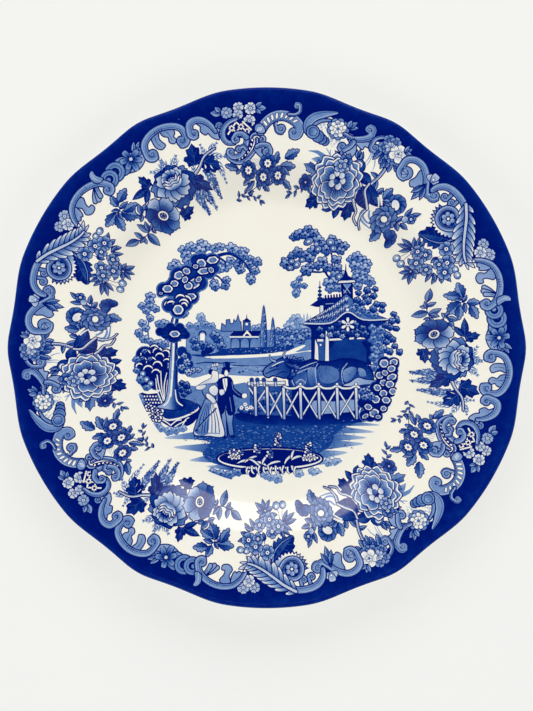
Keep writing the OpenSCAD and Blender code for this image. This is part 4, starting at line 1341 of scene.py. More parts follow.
print("left tree:", len(picture.shapes), "shapes")

# %% [markdown]
# The garden pavilion
# A tent-like shingled roof on posts, with a small lantern on top, a second roof behind, and
# climbing plants all round. The roof's courses are strokes that run down its slope.

# %% Right tree and pavilion
for path, width in ((((16, 58), (21, 58.8), (26, 57.6), (31, 54), (34, 50.6), (34.6, 44), (36, 40)), 1.5),
        (((24, 50.8), (30, 51), (36, 50.6), (40, 50)), 1.3), (((10.4, 41), (14, 44), (19, 46), (23, 46.6)),
        1.3), (((18.6, 38.4), (23, 40.2), (28, 40), (34, 41)), 1.6),
        (((18.6, 38.6), (17, 35), (15.6, 31)), 1.0), (((31, 40), (33.6, 36), (37.6, 32)), 1.3),
        (((44.6, 40), (47, 44), (50, 46.6)), 1.0), (((46, 36), (50, 35.6), (53.6, 37)), 0.9)):
    stroke(picture, path, width, 0.6, 0.84)
puffs([(14.6, 58.4), (17, 60), (21.8, 62.6), (24.6, 60.6), (20, 59.6), (27.4, 56.6), (26.6, 53),
    (30.6, 54.6), (34.8, 57.6), (31.4, 51.8), (37.8, 55), (40.6, 53.6), (38.6, 51.2), (24.6, 51),
    (36.8, 46.2), (14, 48.8), (10, 46), (16.6, 50.6), (20.6, 49), (22.6, 47), (12, 42.6), (10.4, 44),
    (29.6, 45.6), (27, 43.6), (23, 42.8), (20.6, 40.8), (31.6, 42.6), (37, 42), (39.4, 38.6), (36.6, 38.2)],
    2.6, 0.44, 0.86)
puffs([(44.8, 46.6), (47.6, 48.2), (50.6, 46.4), (52.6, 44.6), (49.6, 43.4), (51.8, 41.6), (46.4, 43.2),
    (48.6, 39.4), (51.4, 38.8), (54.2, 35.4), (47.2, 37), (50, 36), (47.8, 32.6), (35.6, 34.4), (32.4, 34),
    (33.8, 31.4), (38, 31.6)], 2.6, 0.36, 0.7)
puffs([(17.4, 36.4), (14.6, 33.6), (16.6, 33), (15.8, 30), (19.6, 32.8), (15.4, 28.4)], 1.7, 0.4, 0.6)
for x, y, size, squash, lean in ((22, 56.2, 2.5, 0.62, 30), (33.6, 55.8, 1.9, 1.1, 70),
        (35, 52.6, 1.7, 0.9, 0), (27, 52.2, 1.8, 0.8, 20), (15.8, 44, 2.0, 0.8, 50),
        (12.2, 42.4, 1.6, 0.8, 0), (18.6, 46.6, 1.5, 0.8, 0), (38.2, 37.6, 1.9, 0.9, 0),
        (13, 45.8, 1.5, 0.8, 0)):
    disc(picture, (x, y), size, 0.32, 0.62, squash, lean, edge=0.5, sides=14)
    disc(picture, (x, y), size * 0.4, 0.1, squash=squash, degrees=lean, edge=0.2, sides=9)
# roof behind, with its ridge ornament and finial
outlined(picture, [(24, 22.7), (27.6, 25), (30.4, 26.2), (40, 26.6), (40, 20), (30, 19), (28.6, 22.4),
    (26.4, 22.2)], 0.95)
for i in range(6):
    picture.cut(oval(31 + 1.5 * i, 27.2 + 0.12 * i, 0.5, 0.9, 8), 0.97)
    picture.cut(oval(30.3 + 1.5 * i, 26.7 + 0.12 * i, 0.28, 0.6, 6), 0.05)
stroke(picture, [(31, 23.2), (36, 23.6)], 0.4, 0.3, 0.3)
outlined(picture, [(28.2, 18.6), (29.8, 18.6), (29.8, 22.4), (28.2, 22.4)], 0.1, edge=0.4)
for y, half in ((26, 1.3), (28, 1.0), (30, 0.9), (32, 0.6)):
    disc(picture, (28, y), half, 0.85, squash=0.7, edge=0.2, sides=10)
stroke(picture, [(28, 26), (28, 32), (28, 35.4)], 0.7, 0.3, 0.8)
# lantern
picture.cut([(39, 34.6), (39.6, 26), (45.6, 26), (45.4, 34.8)], 0.97)
for a, b in (((40.6, 33.6), (44.2, 28.8)), ((44.2, 33.6), (40.6, 28.8)), ((40.4, 30.6), (42.4, 28.6))):
    stroke(picture, [a, b], 0.5, 0.4, 0.3)
picture.cut([(40.4, 33.8), (42.4, 31.8), (44.4, 33.8)], 0.45)
outlined(picture, [(37.6, 34.2), (38.4, 35.4), (46.2, 35.8), (46.8, 34.8)], 0.08)
area([(38.4, 35.6), (40.4, 38), (41.7, 41.8), (43, 38.2), (46.4, 36)], 0.97, steps=2)
stroke(picture, [(41.7, 41), (41.7, 44.4)], 0.8, 0.2, 0.85)
# walls and openings
picture.cut([(23.4, 13), (33.6, 13), (42.5, 19), (51, 15), (55.2, 13), (55.2, -9), (23.4, -9)], 0.94)
picture.cut([(33.4, 5), (52.6, 5), (52.6, -8.4), (33.4, -8.4)], 0.78)
picture.cut([(33.4, -0.6), (36, 3), (33.4, 4.4)], 0.98)
picture.cut([(52.6, -0.6), (50, 3), (52.6, 4.4)], 0.98)
picture.cut([(26.4, 4.6), (30.6, 4.6), (30.6, -8), (26.4, -8)], 0.66)
for shape in ([(25.6, 4.4), (27, 1), (27.4, -8), (25.2, -8)], [(31.2, 9), (32.6, 9), (32.8, -8),
        (30.8, -8)], [(26.6, 3.4), (29.8, 3.4), (29.8, 4.6), (26.6, 4.6)],
        [(33, 3.8), (40, 4.2), (40, 5.2), (33, 4.8)], [(43.6, 4.4), (46, 4.6), (46, 5.6), (43.6, 5.4)],
        [(47.6, 4.6), (52.4, 4.8), (52.4, 5.8), (47.6, 5.6)]):
    outlined(picture, shape, 0.05, edge=0.3)
disc(picture, (28.4, 1.6), 0.5, 0.05)
puffs([(28.2, 9.6), (34.2, 9.6), (38, 11), (36.6, 7.4), (40.8, 8.4), (46.4, 12), (44.4, 8), (48.4, 8.6),
    (51, 10.4), (37.4, 13.2), (51.8, 7.4)], 2.1, 0.58, 0.98)
puffs([(29.4, 6.4), (33.4, 7), (40, 6.2), (43, 9.6), (47.6, 6.8)], 1.4, 0.3, 0.95, arcs=1)
# shingled roof
roof = rounded([(42, 28.4), (38.4, 25.2), (33, 21), (27, 17), (19.2, 12.8)],
    False) + [(33.6, 13), (42.5, 18.8), (51, 14.8)]
roof += rounded([(64, 14.9), (58, 17), (52, 20), (46.4, 24.4)], False)
outlined(picture, roof, 0.56, 0.5, None, LINE, 0.8)
for i in range(17):
    t = (i + 0.5) / 17
    foot_x = 20 + 22 * t
    foot_y = 13.2 if foot_x < 33.6 else 13.2 + (foot_x - 33.6) * 0.64
    head = (24 + 17.6 * t, 15 + 12.4 * t ** 0.9)
    stroke(picture, [(foot_x, foot_y), head], 0.44, 0.3, 0.95 if i % 2 else 0.8)
    for k in range(4):
        s = 0.16 + 0.22 * k + 0.08 * (i % 2)
        spot = (foot_x + (head[0] - foot_x) * s + 0.7, foot_y + (head[1] - foot_y) * s)
        stroke(picture, [spot, (spot[0] + 1.1, spot[1] + 1.1)], 0.8, 0.5, 0.12 if k % 2 else 0.98)
puffs([(47, 22.6), (50, 20.4), (53.6, 18.6), (45, 20.6), (48, 18), (56.6, 17.2)], 1.9, 0.4, 0.72)
stroke(picture, [(19.2, 12.6), (33.8, 12.8), (42.5, 18.6), (51, 14.5), (64.2, 14.7)], 1.7, 1.6, 0.98)
stroke(picture, [(19.4, 13), (33.7, 13.2), (42.5, 19), (51, 14.9), (64, 15.1)], 0.7, 0.6, 0.12)
picture.cut([(20, 11.8), (24, 11.8), (24, 8.4), (22.8, 10.6)], 0.97)
picture.cut([(51, 13.6), (63, 13.8), (60.6, 12), (58.6, 7), (58.4, -2), (55, -4), (54.8, 12)], 0.86)
disc(picture, (42.8, 12.4), 3.6, 0.97, sides=20)
for a in range(30, 390, 60):
    petal(picture, polar((42.8, 12.4), 0.8, a), a, 2.9, 1.5, 0.0, 0.06, edge=0.2)
disc(picture, (42.8, 12.4), 1.1, 0.1, edge=0.3)
disc(picture, (42.8, 12.4), 0.5, 0.9)
disc(picture, (42.6, 20.2), 0.8, 0.0, squash=0.8)
# climbing plants on the right
puffs([(56, 10.6), (57.4, 7.6), (56.2, 4.6), (58.6, 2.2), (56.6, -0.4), (59.4, -3), (56.4, -5.2),
    (58.8, -7.6), (56.6, -10.6), (60.2, 9.4), (60.8, 5.6), (61.8, -1)], 2.2, 0.4, 0.66)
puffs([(57.4, 31), (53, 30.6), (56.4, 27.6), (52, 27), (48.2, 29), (53.4, 24.6), (58, 22.8), (61.2, 22.6),
    (61, 19.8), (56.2, 20.6), (47.6, 25.4), (50.6, 23.8), (66.8, 17.8), (69, 14.8), (66.2, 14),
    (65.4, 10.8), (68.6, 10.2), (63.8, 6.8), (66.4, 4.6), (63.2, 3), (67.4, 0.8), (64.8, -2), (70.2, -2.4),
    (62.8, 12)], 1.7, 0.56, 0.9, arcs=1)
print("pavilion:", len(picture.shapes), "shapes")

# %% [markdown]
# Ox, fence and bush
# The ox lies with folded legs, its back dark and its flank lit. In front of it stands the
# rustic fence: forked poles crossed between posts, with a rope slung along the top.

# %% Ox and fence
FENCE_POSTS = [0.1, 8.8, 17.7, 27.4, 37.1, 47.1]
FENCE_TOP = -20.4
FENCE_FOOT = -37.6
picture.cut([(-9, -20), (14, -20), (14, -36), (-9, -35)], 0.66)
puffs([(-6, -24), (-2, -28), (4, -25), (9.6, -24), (11.6, -28), (3.6, -31), (13, -33), (-4.6, -32)], 2.4,
    0.6, 0.9)
picture.cut([(13, -19), (54, -19), (54, -36), (13, -37.6)], 0.96)
area([(24.6, -28), (34, -28.4), (46, -27.4), (46.4, -33), (34, -34.6), (25, -34)], 0.34, None, None, 0.8)
body = rounded([(12.6, -15), (14.6, -10.6), (19, -8), (24, -6.3), (28, -7.4), (34, -7.4), (40, -6.1),
    (47, -6.6), (52.4, -8.6), (55.4, -12.6), (56, -17), (55, -20), (34, -20.6), (14, -20.6)], steps=4)
outlined(picture, body, 0.98, 0.74, ((34, -6.6), (34, -16)), LINE * 1.2, 0.8)
for shape, tone, tip in (([(27.4, -10), (33, -9.6), (37.4, -11.6), (38, -16), (34, -18.6), (29, -18),
        (27, -14)], 0.6, 0.5), ([(22, -11), (25.6, -10.4), (26.6, -14), (26, -19.4), (23, -19.6),
        (21.6, -15)], 0.4, 0.7), ([(14.6, -12), (18, -11), (21, -13), (20.6, -19), (16, -19.6), (14, -16)],
        0.8, 0.5), ([(40.6, -12), (44.6, -10), (47.4, -11), (46, -15), (42, -18), (40.4, -16)], 0.36, 0.6),
        ([(48.6, -10.6), (51.6, -11.6), (52.4, -14.6), (49.6, -15), (48.4, -13)], 0.34, 0.5)):
    area(shape, tone, tip, (shape[0], shape[3]), 1.0)
for path in (((14.4, -12.6), (18, -10.6), (22.6, -8.6), (26.4, -7.4)),
        ((16, -13.4), (19.4, -11.8), (23.6, -10.2)), ((27, -8.2), (25.6, -11), (25.8, -15), (26.6, -19.6)),
        ((42.6, -8), (40, -11.4), (39.6, -15), (40.4, -19.4)), ((13.8, -14), (13.2, -17), (14.6, -20)),
        ((15.4, -18.6), (18, -16.6), (20.6, -18.6))):
    stroke(picture, path, 0.34, 0.24, 0.2, 0.16)
dashes((17, -19, 54, -9), 170, 21, (1.0, 0.9, 0.45, 0.7), 1.3, 0.42, 60)
leg = rounded([(40.4, -19.8), (44, -18.4), (48, -15.8), (52, -16.8), (57.4, -17.4), (57.8, -18.8),
    (52, -19.2), (46, -20)])
outlined(picture, leg, 0.16, 0.4)
# head with two horns, and a shaggy neck
for x, y, size in ((13, -10, 3.4), (12, -13.6, 3.2), (10.6, -7.6, 2.6), (15, -6.8, 2.0), (17.8, -6.4, 1.8)):
    puff((x, y), size, 0.8, 1.0, int(x) % 5)
for degrees in range(60, 260, 18):
    stroke(picture, [polar((12, -9.6), 2.0, degrees), polar((12.6, -9), 5.4, degrees - 6)], 0.9, 0.3, 0.98)
head = rounded([(-1.4, -14), (-1.2, -11.6), (1.6, -9), (5.4, -6.8), (9, -5.4), (12, -7.4), (12.4, -12.4),
    (10, -15.6), (6, -14.8), (3, -14.4), (0.6, -15.4)], steps=4)
outlined(picture, head, 0.5, 0.85, ((0, -12), (12, -9)), LINE * 1.3, 1.0)
for path in (((0, -13.4), (4, -11.6), (8, -11)), ((1.6, -11), (4.6, -9.4), (7, -8.8)),
        ((5, -14.2), (8, -12.6), (10.4, -13))):
    stroke(picture, path, 0.5, 0.3, 0.95, 0.2)
stroke(picture, [(2.6, -9.8), (6, -8), (9, -7)], 0.4, 0.3, 0.1, 0.2)
disc(picture, (5.4, -9.6), 0.62, 1.0, squash=0.7, edge=0.12)
disc(picture, (-0.4, -13.6), 0.4, 1.0)
for path in (((4.6, -7.2), (2.2, -6), (1.4, -3.4)), ((9.6, -5.4), (9, -3.4), (10.4, -1.4))):
    curve = rounded(path, False, 4)
    picture.cut(ribbon(curve, 2.1, 0.7), 1.0)
    picture.cut(ribbon(curve, 1.1, 0.2), 0.3)
leaf(picture, (10, -8), (14.4, -10.4), 2.2, "dark")
# fence
for left, right in zip([-9.4] + FENCE_POSTS, FENCE_POSTS + [54.0]):
    for a, b in (((left, FENCE_TOP - 1), (right - 0.4, FENCE_FOOT + 0.6)), ((right, FENCE_TOP - 1),
            (left + 0.4, FENCE_FOOT + 0.6))):
        if left < 0:
            a, b = (a[0], a[1] + 0.4), (b[0], b[1] + 2.4)
        outlined(picture, ribbon([a, b], 0.8, 0.7), 0.12, edge=0.3)
for x in [-6.2] + FENCE_POSTS:
    foot_y = FENCE_FOOT if x > 5 else FENCE_FOOT + 1.8
    outlined(picture, ribbon([(x, FENCE_TOP), (x + 0.5, foot_y)], 1.3, 1.0), 0.05, 0.3)
rope = [(8.8, -20.2)]
for left, right in zip(FENCE_POSTS[1:], FENCE_POSTS[2:] + [55.4]):
    rope += [((left * 3 + right) / 4, -21.2), ((left + right) / 2, -21.4), ((left + right * 3) / 4, -21.1),
        (right, -19.9)]
outlined(picture, ribbon(rounded(rope, False, 2), 1.0), 0.08, edge=0.4)
outlined(picture, ribbon(rounded([(-10, -19), (-4, -18.2), (2, -18.6), (9.6, -18.4)], False), 1.5), 0.08,
    edge=0.4)
for x in (-8, -5, -1.6, 4.4):
    outlined(picture, ribbon([(x, -17), (x + 0.4, -20.4)], 1.1, 0.8), 0.2, edge=0.4)
    disc(picture, (x, -16.8), 0.9, 0.7, edge=0.3)
for x in FENCE_POSTS[2:]:
    disc(picture, (x, FENCE_TOP + 1.3), 0.62, 0.04, edge=0.3)
# bush on the right, and the leaves by the fence's end
mass([(62, -8, 3.4), (66.6, -8.4, 3.2), (66, -12, 3.2), (60.6, -13.6, 3.4), (65.6, -16, 3.4),
    (61, -18.6, 3.6), (57.6, -21, 3.2), (64.6, -22.6, 3.4), (60, -25, 3.6), (56.6, -27.6, 3.4),
    (62.4, -28.4, 3), (58, -32.4, 3.6), (61.4, -32, 2.2), (54, -31, 3.2), (54.6, -35.6, 3.2),
    (58.6, -36.2, 2.4), (53, -24.6, 3.6), (50.6, -29, 2.6), (51.6, -35.6, 2.6)], 0.97, 0.4)
for spot in ((62, -8.2, 2.3, 0.9), (67, -7.6, 2.1, 0.8, 20), (65.8, -11, 2.1, 0.75, 10),
        (59.6, -14.4, 1.9, 0.9), (62.4, -13.2, 1.6, 0.8, -30), (66, -15.4, 2.5, 0.62, 20),
        (61.6, -18.4, 1.8, 0.85), (65, -19.2, 2.1, 0.85), (58.4, -21, 1.9, 0.85, -20),
        (66.6, -23, 1.9, 0.85), (61.6, -24, 1.9, 0.9), (57.6, -27.2, 2.0, 0.95),
        (63, -27.6, 2.1, 0.75, -12), (61.6, -32, 1.5, 0.9), (56.6, -34.4, 2.5, 0.8, 20),
        (53.6, -31.2, 2.0, 0.7, -20), (52, -36, 1.7, 0.6, 30), (58.8, -36.4, 1.3, 0.7)):
    lit_lobe(*spot)
puffs([(53.4, -23), (55, -25.4), (50.6, -22.6), (51.6, -26)], 2.0, 0.4, 0.85)
print("ox, fence and bush:", len(picture.shapes), "shapes")

# %% [markdown]
# The couple
# A gentleman in a tall hat points the way for a lady in a full skirt. At this size a face is
# one plain oval.

# %% Lady and gentleman
# gentleman
for shape in ([(-23.8, -33), (-21.4, -33), (-21.6, -40), (-21.2, -46.4), (-23, -46.6), (-23.2, -40)],
        [(-21.4, -33), (-18, -33.4), (-18.4, -40), (-17.6, -45.8), (-19.4, -46.2), (-20.6, -40)]):
    edged(shape, 0.34, 0.56, None, LINE, 1.0)
for x, y in ((-22.4, -46.9), (-17.8, -46.6)):
    disc(picture, (x, y), 1.3, 0.98, squash=0.42, degrees=-16)
coat = [(-25.6, -17), (-23, -15.6), (-20, -15.4), (-18.2, -17.4), (-17.2, -21.4), (-13.4, -24.4),
    (-12.2, -25.4), (-13, -26.6), (-15.4, -25.8), (-18, -24.4), (-17.4, -29), (-16.8, -33.4),
    (-18.6, -35.4), (-20.6, -34.6), (-21.6, -29), (-22.6, -33.6), (-24.6, -35), (-25.8, -30), (-25.6, -24),
    (-27, -20)]
edged(coat, 0.98, edge=0.3)
stroke(picture, [(-18.4, -18), (-17.6, -22), (-14, -25.2)], 0.3, 0.3, 0.4)
stroke(picture, [(-19.6, -26), (-18.4, -33.6)], 0.3, 0.3, 0.4)
picture.cut([(-23.4, -16.4), (-21, -16), (-20.8, -19.4), (-21.8, -23), (-22.4, -23)], 0.04)
stroke(picture, [(-22.4, -16.6), (-21.8, -21)], 0.3, 0.2, 0.9)
edged([(-12.8, -24.4), (-11, -24), (-10.4, -25.6), (-11.8, -26.6), (-13, -26)], 0.02, edge=0.3, steps=2)
outlined(picture, oval(-21.5, -13.2, 1.3, 1.8, 14), 0.04, 0.3, edge=0.3)
mass([(-23, -13, 1.2), (-20.2, -12.2, 0.9), (-22.8, -11.6, 0.9)], 0.95)
picture.cut(oval(-21.4, -13.4, 1.0, 1.5, 12), 0.04)
picture.cut(oval(-21.2, -10.9, 2.7, 0.8, 16), 1.0)
picture.cut([(-22.9, -10.8), (-23.1, -7.6), (-21.2, -7.2), (-19.3, -7.6), (-19.5, -10.8)], 0.98)
stroke(picture, [(-22.2, -10), (-22.3, -8)], 0.35, 0.3, 0.5)
# lady
skirt = [(-31.4, -26.4), (-28, -27.4), (-26.2, -30), (-24.4, -37), (-22.4, -45.4), (-25, -47),
    (-29.6, -46.4), (-35, -46.2), (-38.4, -45), (-36.6, -38), (-34, -31)]
edged(skirt, 0.03, 0.1)
drape = [(-31.4, -26.4), (-29, -28), (-30, -34), (-31.4, -45.6), (-38.2, -44.6), (-36.6, -38), (-34, -31)]
area(drape, 0.42, 0.5, ((-34, -27), (-34, -45)), 1.0)
for x0, x1 in ((-33.4, -36.6), (-32.4, -34.4), (-31.4, -33), (-30.6, -31.4), (-29, -29), (-27.8, -27),
        (-27, -25)):
    stroke(picture, [(x0 * 0.5 - 15.2, -29), ((x0 + x1) / 2, -37), (x1, -44.8)], 0.2, 0.5, 0.8, 0.1)
stroke(picture, [(-38, -43.6), (-34.6, -44.8), (-30, -45), (-24.6, -45.2)], 0.5, 0.4, 0.6)
stroke(picture, [(-37.6, -44), (-33.4, -39), (-28.6, -34), (-26.6, -31.6)], 1.0, 0.8, 0.95)
stroke(picture, [(-36.4, -43), (-32, -38), (-28.4, -34.2)], 0.3, 0.2, 0.3)
bodice = [(-33.6, -19.6), (-31, -17.6), (-27.4, -17.2), (-26, -20), (-27, -24), (-27.8, -27.4),
    (-31.6, -26.6), (-33.8, -23)]
edged(bodice, 0.36, 0.62, None, LINE, 1.0)
for shape in ([(-36.6, -20), (-33.6, -19), (-32, -20.4), (-34.4, -22), (-37.4, -21.6)], [(-29.8, -20.6),
        (-27.4, -19.8), (-25.8, -22), (-26.6, -25), (-29, -24.6), (-30.4, -22.6)], [(-31.6, -24),
        (-29, -25.4), (-27, -28), (-28, -29.4), (-30, -27.6), (-31.8, -26)], [(-25, -22.4), (-22.8, -22),
        (-22.4, -24), (-24.4, -25)], [(-27.6, -12.4), (-26, -12.8), (-25.6, -16.6), (-27.4, -18.4),
        (-31.6, -18.8), (-35.6, -19.6), (-33, -17.8), (-29.4, -16)]):
    edged(shape, 0.03, 0.14, edge=0.34, steps=2)
mass([(-29.2, -12.6, 1.7)], 0.95)
picture.cut(oval(-28, -13.4, 1.1, 1.5, 12), 0.05)
edged([(-29.6, -11), (-28.4, -9.8), (-26.6, -10), (-26.4, -11.6), (-27.8, -11.6)], 0.3, edge=0.34, steps=2)
for i in range(3):
    disc(picture, (-28.4 + 1.1 * i, -9.2 + 0.2 * i), 0.8, 0.12, edge=0.3, sides=8)
# tuft of flowers at their feet
puffs([(-13.6, -32.8), (-9.4, -32.6), (-11.4, -33.6)], 1.6, 0.9, 1.0, arcs=0)
for x, y in ((-13.4, -31.6), (-11.4, -29.8), (-10.4, -32), (-8.4, -31.4)):
    for degrees in range(0, 360, 72):
        disc(picture, polar((x, y), 0.7, degrees), 0.44, 0.03, sides=7)
    disc(picture, (x, y), 0.3, 0.7, sides=6)
print("picture:", len(picture.shapes), "shapes")

# %% [markdown]
# Turning the coats
# Clay, glaze and edge band are all solids of revolution that a lobed template has trimmed.
# They could be cut from a cylinder, but turning one half section about the upright axis is
# what the jigger does with wet clay. The full spin is merged at its seam and at its poles,
# and then the outer points slide inwards along the slope to make the notches.

# %% The half section of the dish
LIP_ROUND = LIP_WALL / 2
SPIN_STEPS = 288
LIP_STEPS = 12
MERGE = 0.001
SLIDE_REACH = 14.0
FLOOR_RINGS = [0.0, 20.0, 40.0, 58.0, 68.0, 74.0]
SHOULDER_RINGS = [75.0 + i for i in range(28)]
RIM_RINGS = [106.0, 111.0, 116.0, 121.0, 125.0, 128.0, 130.5, 132.2]


def face_path(depth, radii):
    """Points under the face by a depth."""
    return [(r, float(face_z(r) - depth * upright(r))) for r in radii]


def back_path(depth, radii):
    """Points inside the underside by a depth."""
    return [(r, float(face_z(r) - (wall(r) - depth) * upright(r))) for r in radii]


def lip_path(depth):
    """The rounded lip, from the face over the edge to the underside."""
    r = LIP_R - LIP_ROUND
    centre = (r, float(face_z(r) - LIP_ROUND * upright(r)))
    lean = math.degrees(math.atan(RIM_SLOPE))
    return [polar(centre, LIP_ROUND - depth, 90 + lean - 180 * i / LIP_STEPS) for i in range(LIP_STEPS + 1)]


def spun(name, section, closed=False):
    """Turns a half section into a solid, trims its edge into lobes and makes it an object."""
    bm = bmesh.new()
    verts = [bm.verts.new((r * MM, 0, z * MM)) for r, z in section]
    edges = [bm.edges.new(pair) for pair in zip(verts, verts[1:])]
    if closed:
        edges.append(bm.edges.new((verts[-1], verts[0])))
    bmesh.ops.spin(bm, geom=verts + edges, cent=(0, 0, 0), axis=(0, 0, 1), angle=math.tau, steps=SPIN_STEPS,
        use_merge=True, dvec=(0, 0, 0))
    bmesh.ops.remove_doubles(bm, verts=bm.verts[:], dist=MERGE * MM)
    for vert in bm.verts:
        r = math.hypot(vert.co.x, vert.co.y) / MM
        if r > LIP_R - SLIDE_REACH - PINCH_REACH:
            angle = math.degrees(math.atan2(vert.co.y, vert.co.x))
            slide = NOTCH_DEPTH * float(dip(angle)) * float(eased((r - LIP_R) / SLIDE_REACH + 1))
            vert.co.x *= (r - slide) / r
            vert.co.y *= (r - slide) / r
            vert.co.z -= (RIM_SLOPE * slide + float(pinch(r - slide, angle))) * MM
    bmesh.ops.recalc_face_normals(bm, faces=bm.faces[:])
    for face in bm.faces:
        face.smooth = True
    mesh = bpy.data.meshes.new(name)
    bm.to_mesh(mesh)
    bm.free()
    piece = bpy.data.objects.new(name, mesh)
    bpy.context.scene.collection.objects.link(piece)
    print(name, "turned:", len(mesh.polygons), "faces")
    return piece


# %% [markdown]
# Clay and glaze
# The clay carries the foot ring, whose narrow flat stays dry so that it doesn't stick in the
# kiln. The glaze is a real shell of its own over the face, the lip and the back, and a second
# coat closes the hollow inside the foot.

# %% Clay body, main glaze and base glaze
FOOT_R = 76.0
FOOT_FLAT = 2.6
FOOT_ROOT = 6.4
FOOT_SOFT = 0.35
FOOT_EASE = 0.08
DRY_EDGE = 0.7
ROOF_Z = FLOOR_Z - WELL_WALL
BACK_RINGS = [FOOT_R + FOOT_ROOT / 2] + [80.0 + i for i in range(24)] + RIM_RINGS[:-1]


def foot_side(z, sense, depth):
    """A point on the foot's inner (-1) or outer (+1) side at a height, sunk by a depth."""
    top = float(back_path(0, [FOOT_R])[0][1])
    half = FOOT_FLAT / 2 + (FOOT_ROOT - FOOT_FLAT) / 2 * (z / top)
    return (FOOT_R + sense * (half - depth), z)


def coat_path(depth):
    """Face, lip and back as far as the foot, sunk by a depth."""
    face = face_path(depth, FLOOR_RINGS + SHOULDER_RINGS + RIM_RINGS)
    return face + lip_path(depth) + back_path(depth, BACK_RINGS[::-1])


foot = [foot_side(DRY_EDGE, 1, GLAZE), foot_side(FOOT_SOFT, 1, GLAZE)]
foot += [(FOOT_R + FOOT_FLAT / 2 - GLAZE, FOOT_EASE), (FOOT_R + FOOT_FLAT / 2 - FOOT_SOFT - GLAZE, 0.0)]
foot += [(2 * FOOT_R - r, z) for r, z in foot[::-1]]
hollow_top = [(r, ROOF_Z + GLAZE) for r in (FOOT_R - FOOT_ROOT / 2, 40.0, 0.0)]
clay_body = spun("clay_body", coat_path(GLAZE) + foot + hollow_top)

outer = coat_path(0) + [foot_side(z, 1, 0) for z in (2.4, 1.6, DRY_EDGE)]
inner = coat_path(GLAZE) + [foot_side(z, 1, GLAZE) for z in (2.4, 1.6, DRY_EDGE)]
glaze_coat = spun("glaze_coat", outer + inner[::-1])

hollow = [(r, ROOF_Z) for r in (0.0, 30.0, 60.0, 71.4)] + [(72.6, ROOF_Z - 0.25)]
hollow += [foot_side(z, -1, 0) for z in (2.2, 1.5, DRY_EDGE)]
bed = [(r, ROOF_Z + GLAZE) for r in (0.0, 30.0, 60.0, 71.6)] + [(72.8, ROOF_Z)]
bed += [foot_side(z, -1, GLAZE) for z in (2.2, 1.5, DRY_EDGE)]
base_coat = spun("base_coat", hollow + bed[::-1])

# %% [markdown]
# The edge band
# The lip is banded by brush with the same cobalt. The band is a thin film that follows the
# rounded lip. Towards the very edge the glaze runs thin and the blue breaks lighter; this lighter
# tone is also a painted highlight for the light that the rounded lip catches, since the band's
# own gloss is turned almost off. Each point keeps its place across the band as an attribute for
# the colour to read.

# %% Edge band
BAND_W = 2.2
FILM_LIFT = 0.06
FILM_SINK = 0.05
band_rings = [LIP_R - BAND_W - 0.2, LIP_R - BAND_W + 0.2]
band_outer = face_path(-FILM_LIFT - 0.02, band_rings) + lip_path(-FILM_LIFT - 0.02)
band_inner = face_path(FILM_SINK, band_rings) + lip_path(FILM_SINK)
edge_piece = spun("edge_band_blue", band_outer + band_inner[::-1], closed=True)

# %% [markdown]
# From drawing to film
# A transfer is a sheet of tissue: flat when it is cut, and pressed down on a curved plate.
# The shapes are laid out flat, and one triangulation splits the area along all their edges.
# Each triangle takes its tone from the shape that was cut last over it, triangles without
# ink are dropped, and the rest are lifted onto the face and given a thickness.

# %% The printer
NO_INK = 0.02
NEAR = 0.012
LONGEST_SIDE = 4.0
LEVEL = 0.6
NOWHERE = (-999, -999)


def stepped(points):
    """An outline with long sides split up, so that they bend with the plate."""
    out = []
    for a, b in zip(points, points[1:] + points[:1]):
        parts = max(1, math.ceil(math.hypot(b[0] - a[0], b[1] - a[1]) / LONGEST_SIDE))
        out += [(a[0] + (b[0] - a[0]) * i / parts, a[1] + (b[1] - a[1]) * i / parts) for i in range(parts)]
    return out


def inside(outline, x, y):
    """Which spots lie inside an outline, whichever way it runs."""
    wind = np.zeros(len(x), dtype=int)
    for a, b in zip(outline, np.roll(outline, -1, axis=0)):
        side = (b[0] - a[0]) * (y - a[1]) - (b[1] - a[1]) * (x - a[0])
        wind += ((a[1] <= y) & (b[1] > y) & (side > 0)).astype(int)
        wind -= ((a[1] > y) & (b[1] <= y) & (side < 0)).astype(int)
    return wind != 0


def top_shapes(outlines, spots):
    """The last outline that covers each spot, or -1."""
    order = np.argsort(spots[:, 0])
    xs, ys = spots[order, 0], spots[order, 1]
    top = np.full(len(spots), -1)
    for k in range(len(outlines) - 1, -1, -1):
        low, high = outlines[k].min(axis=0), outlines[k].max(axis=0)
        first, last = np.searchsorted(xs, (low[0], high[0]))
        free = (ys[first:last] >= low[1]) & (ys[first:last] <= high[1]) & (top[first:last] < 0)
        near = first + np.nonzero(free)[0]
        if len(near):
            top[near[inside(outlines[k], xs[near], ys[near])]] = k
    result = np.empty_like(top)
    result[order] = top
    return result


def split(points, edges):
    """Triangles between points, along all the given edges."""
    verts, _, faces = delaunay_2d_cdt([Vector(p) for p in points], edges, [], 0, NEAR, False)[:3]
    verts = np.array([v[:] for v in verts])
    faces = np.array(faces)
    return verts, faces


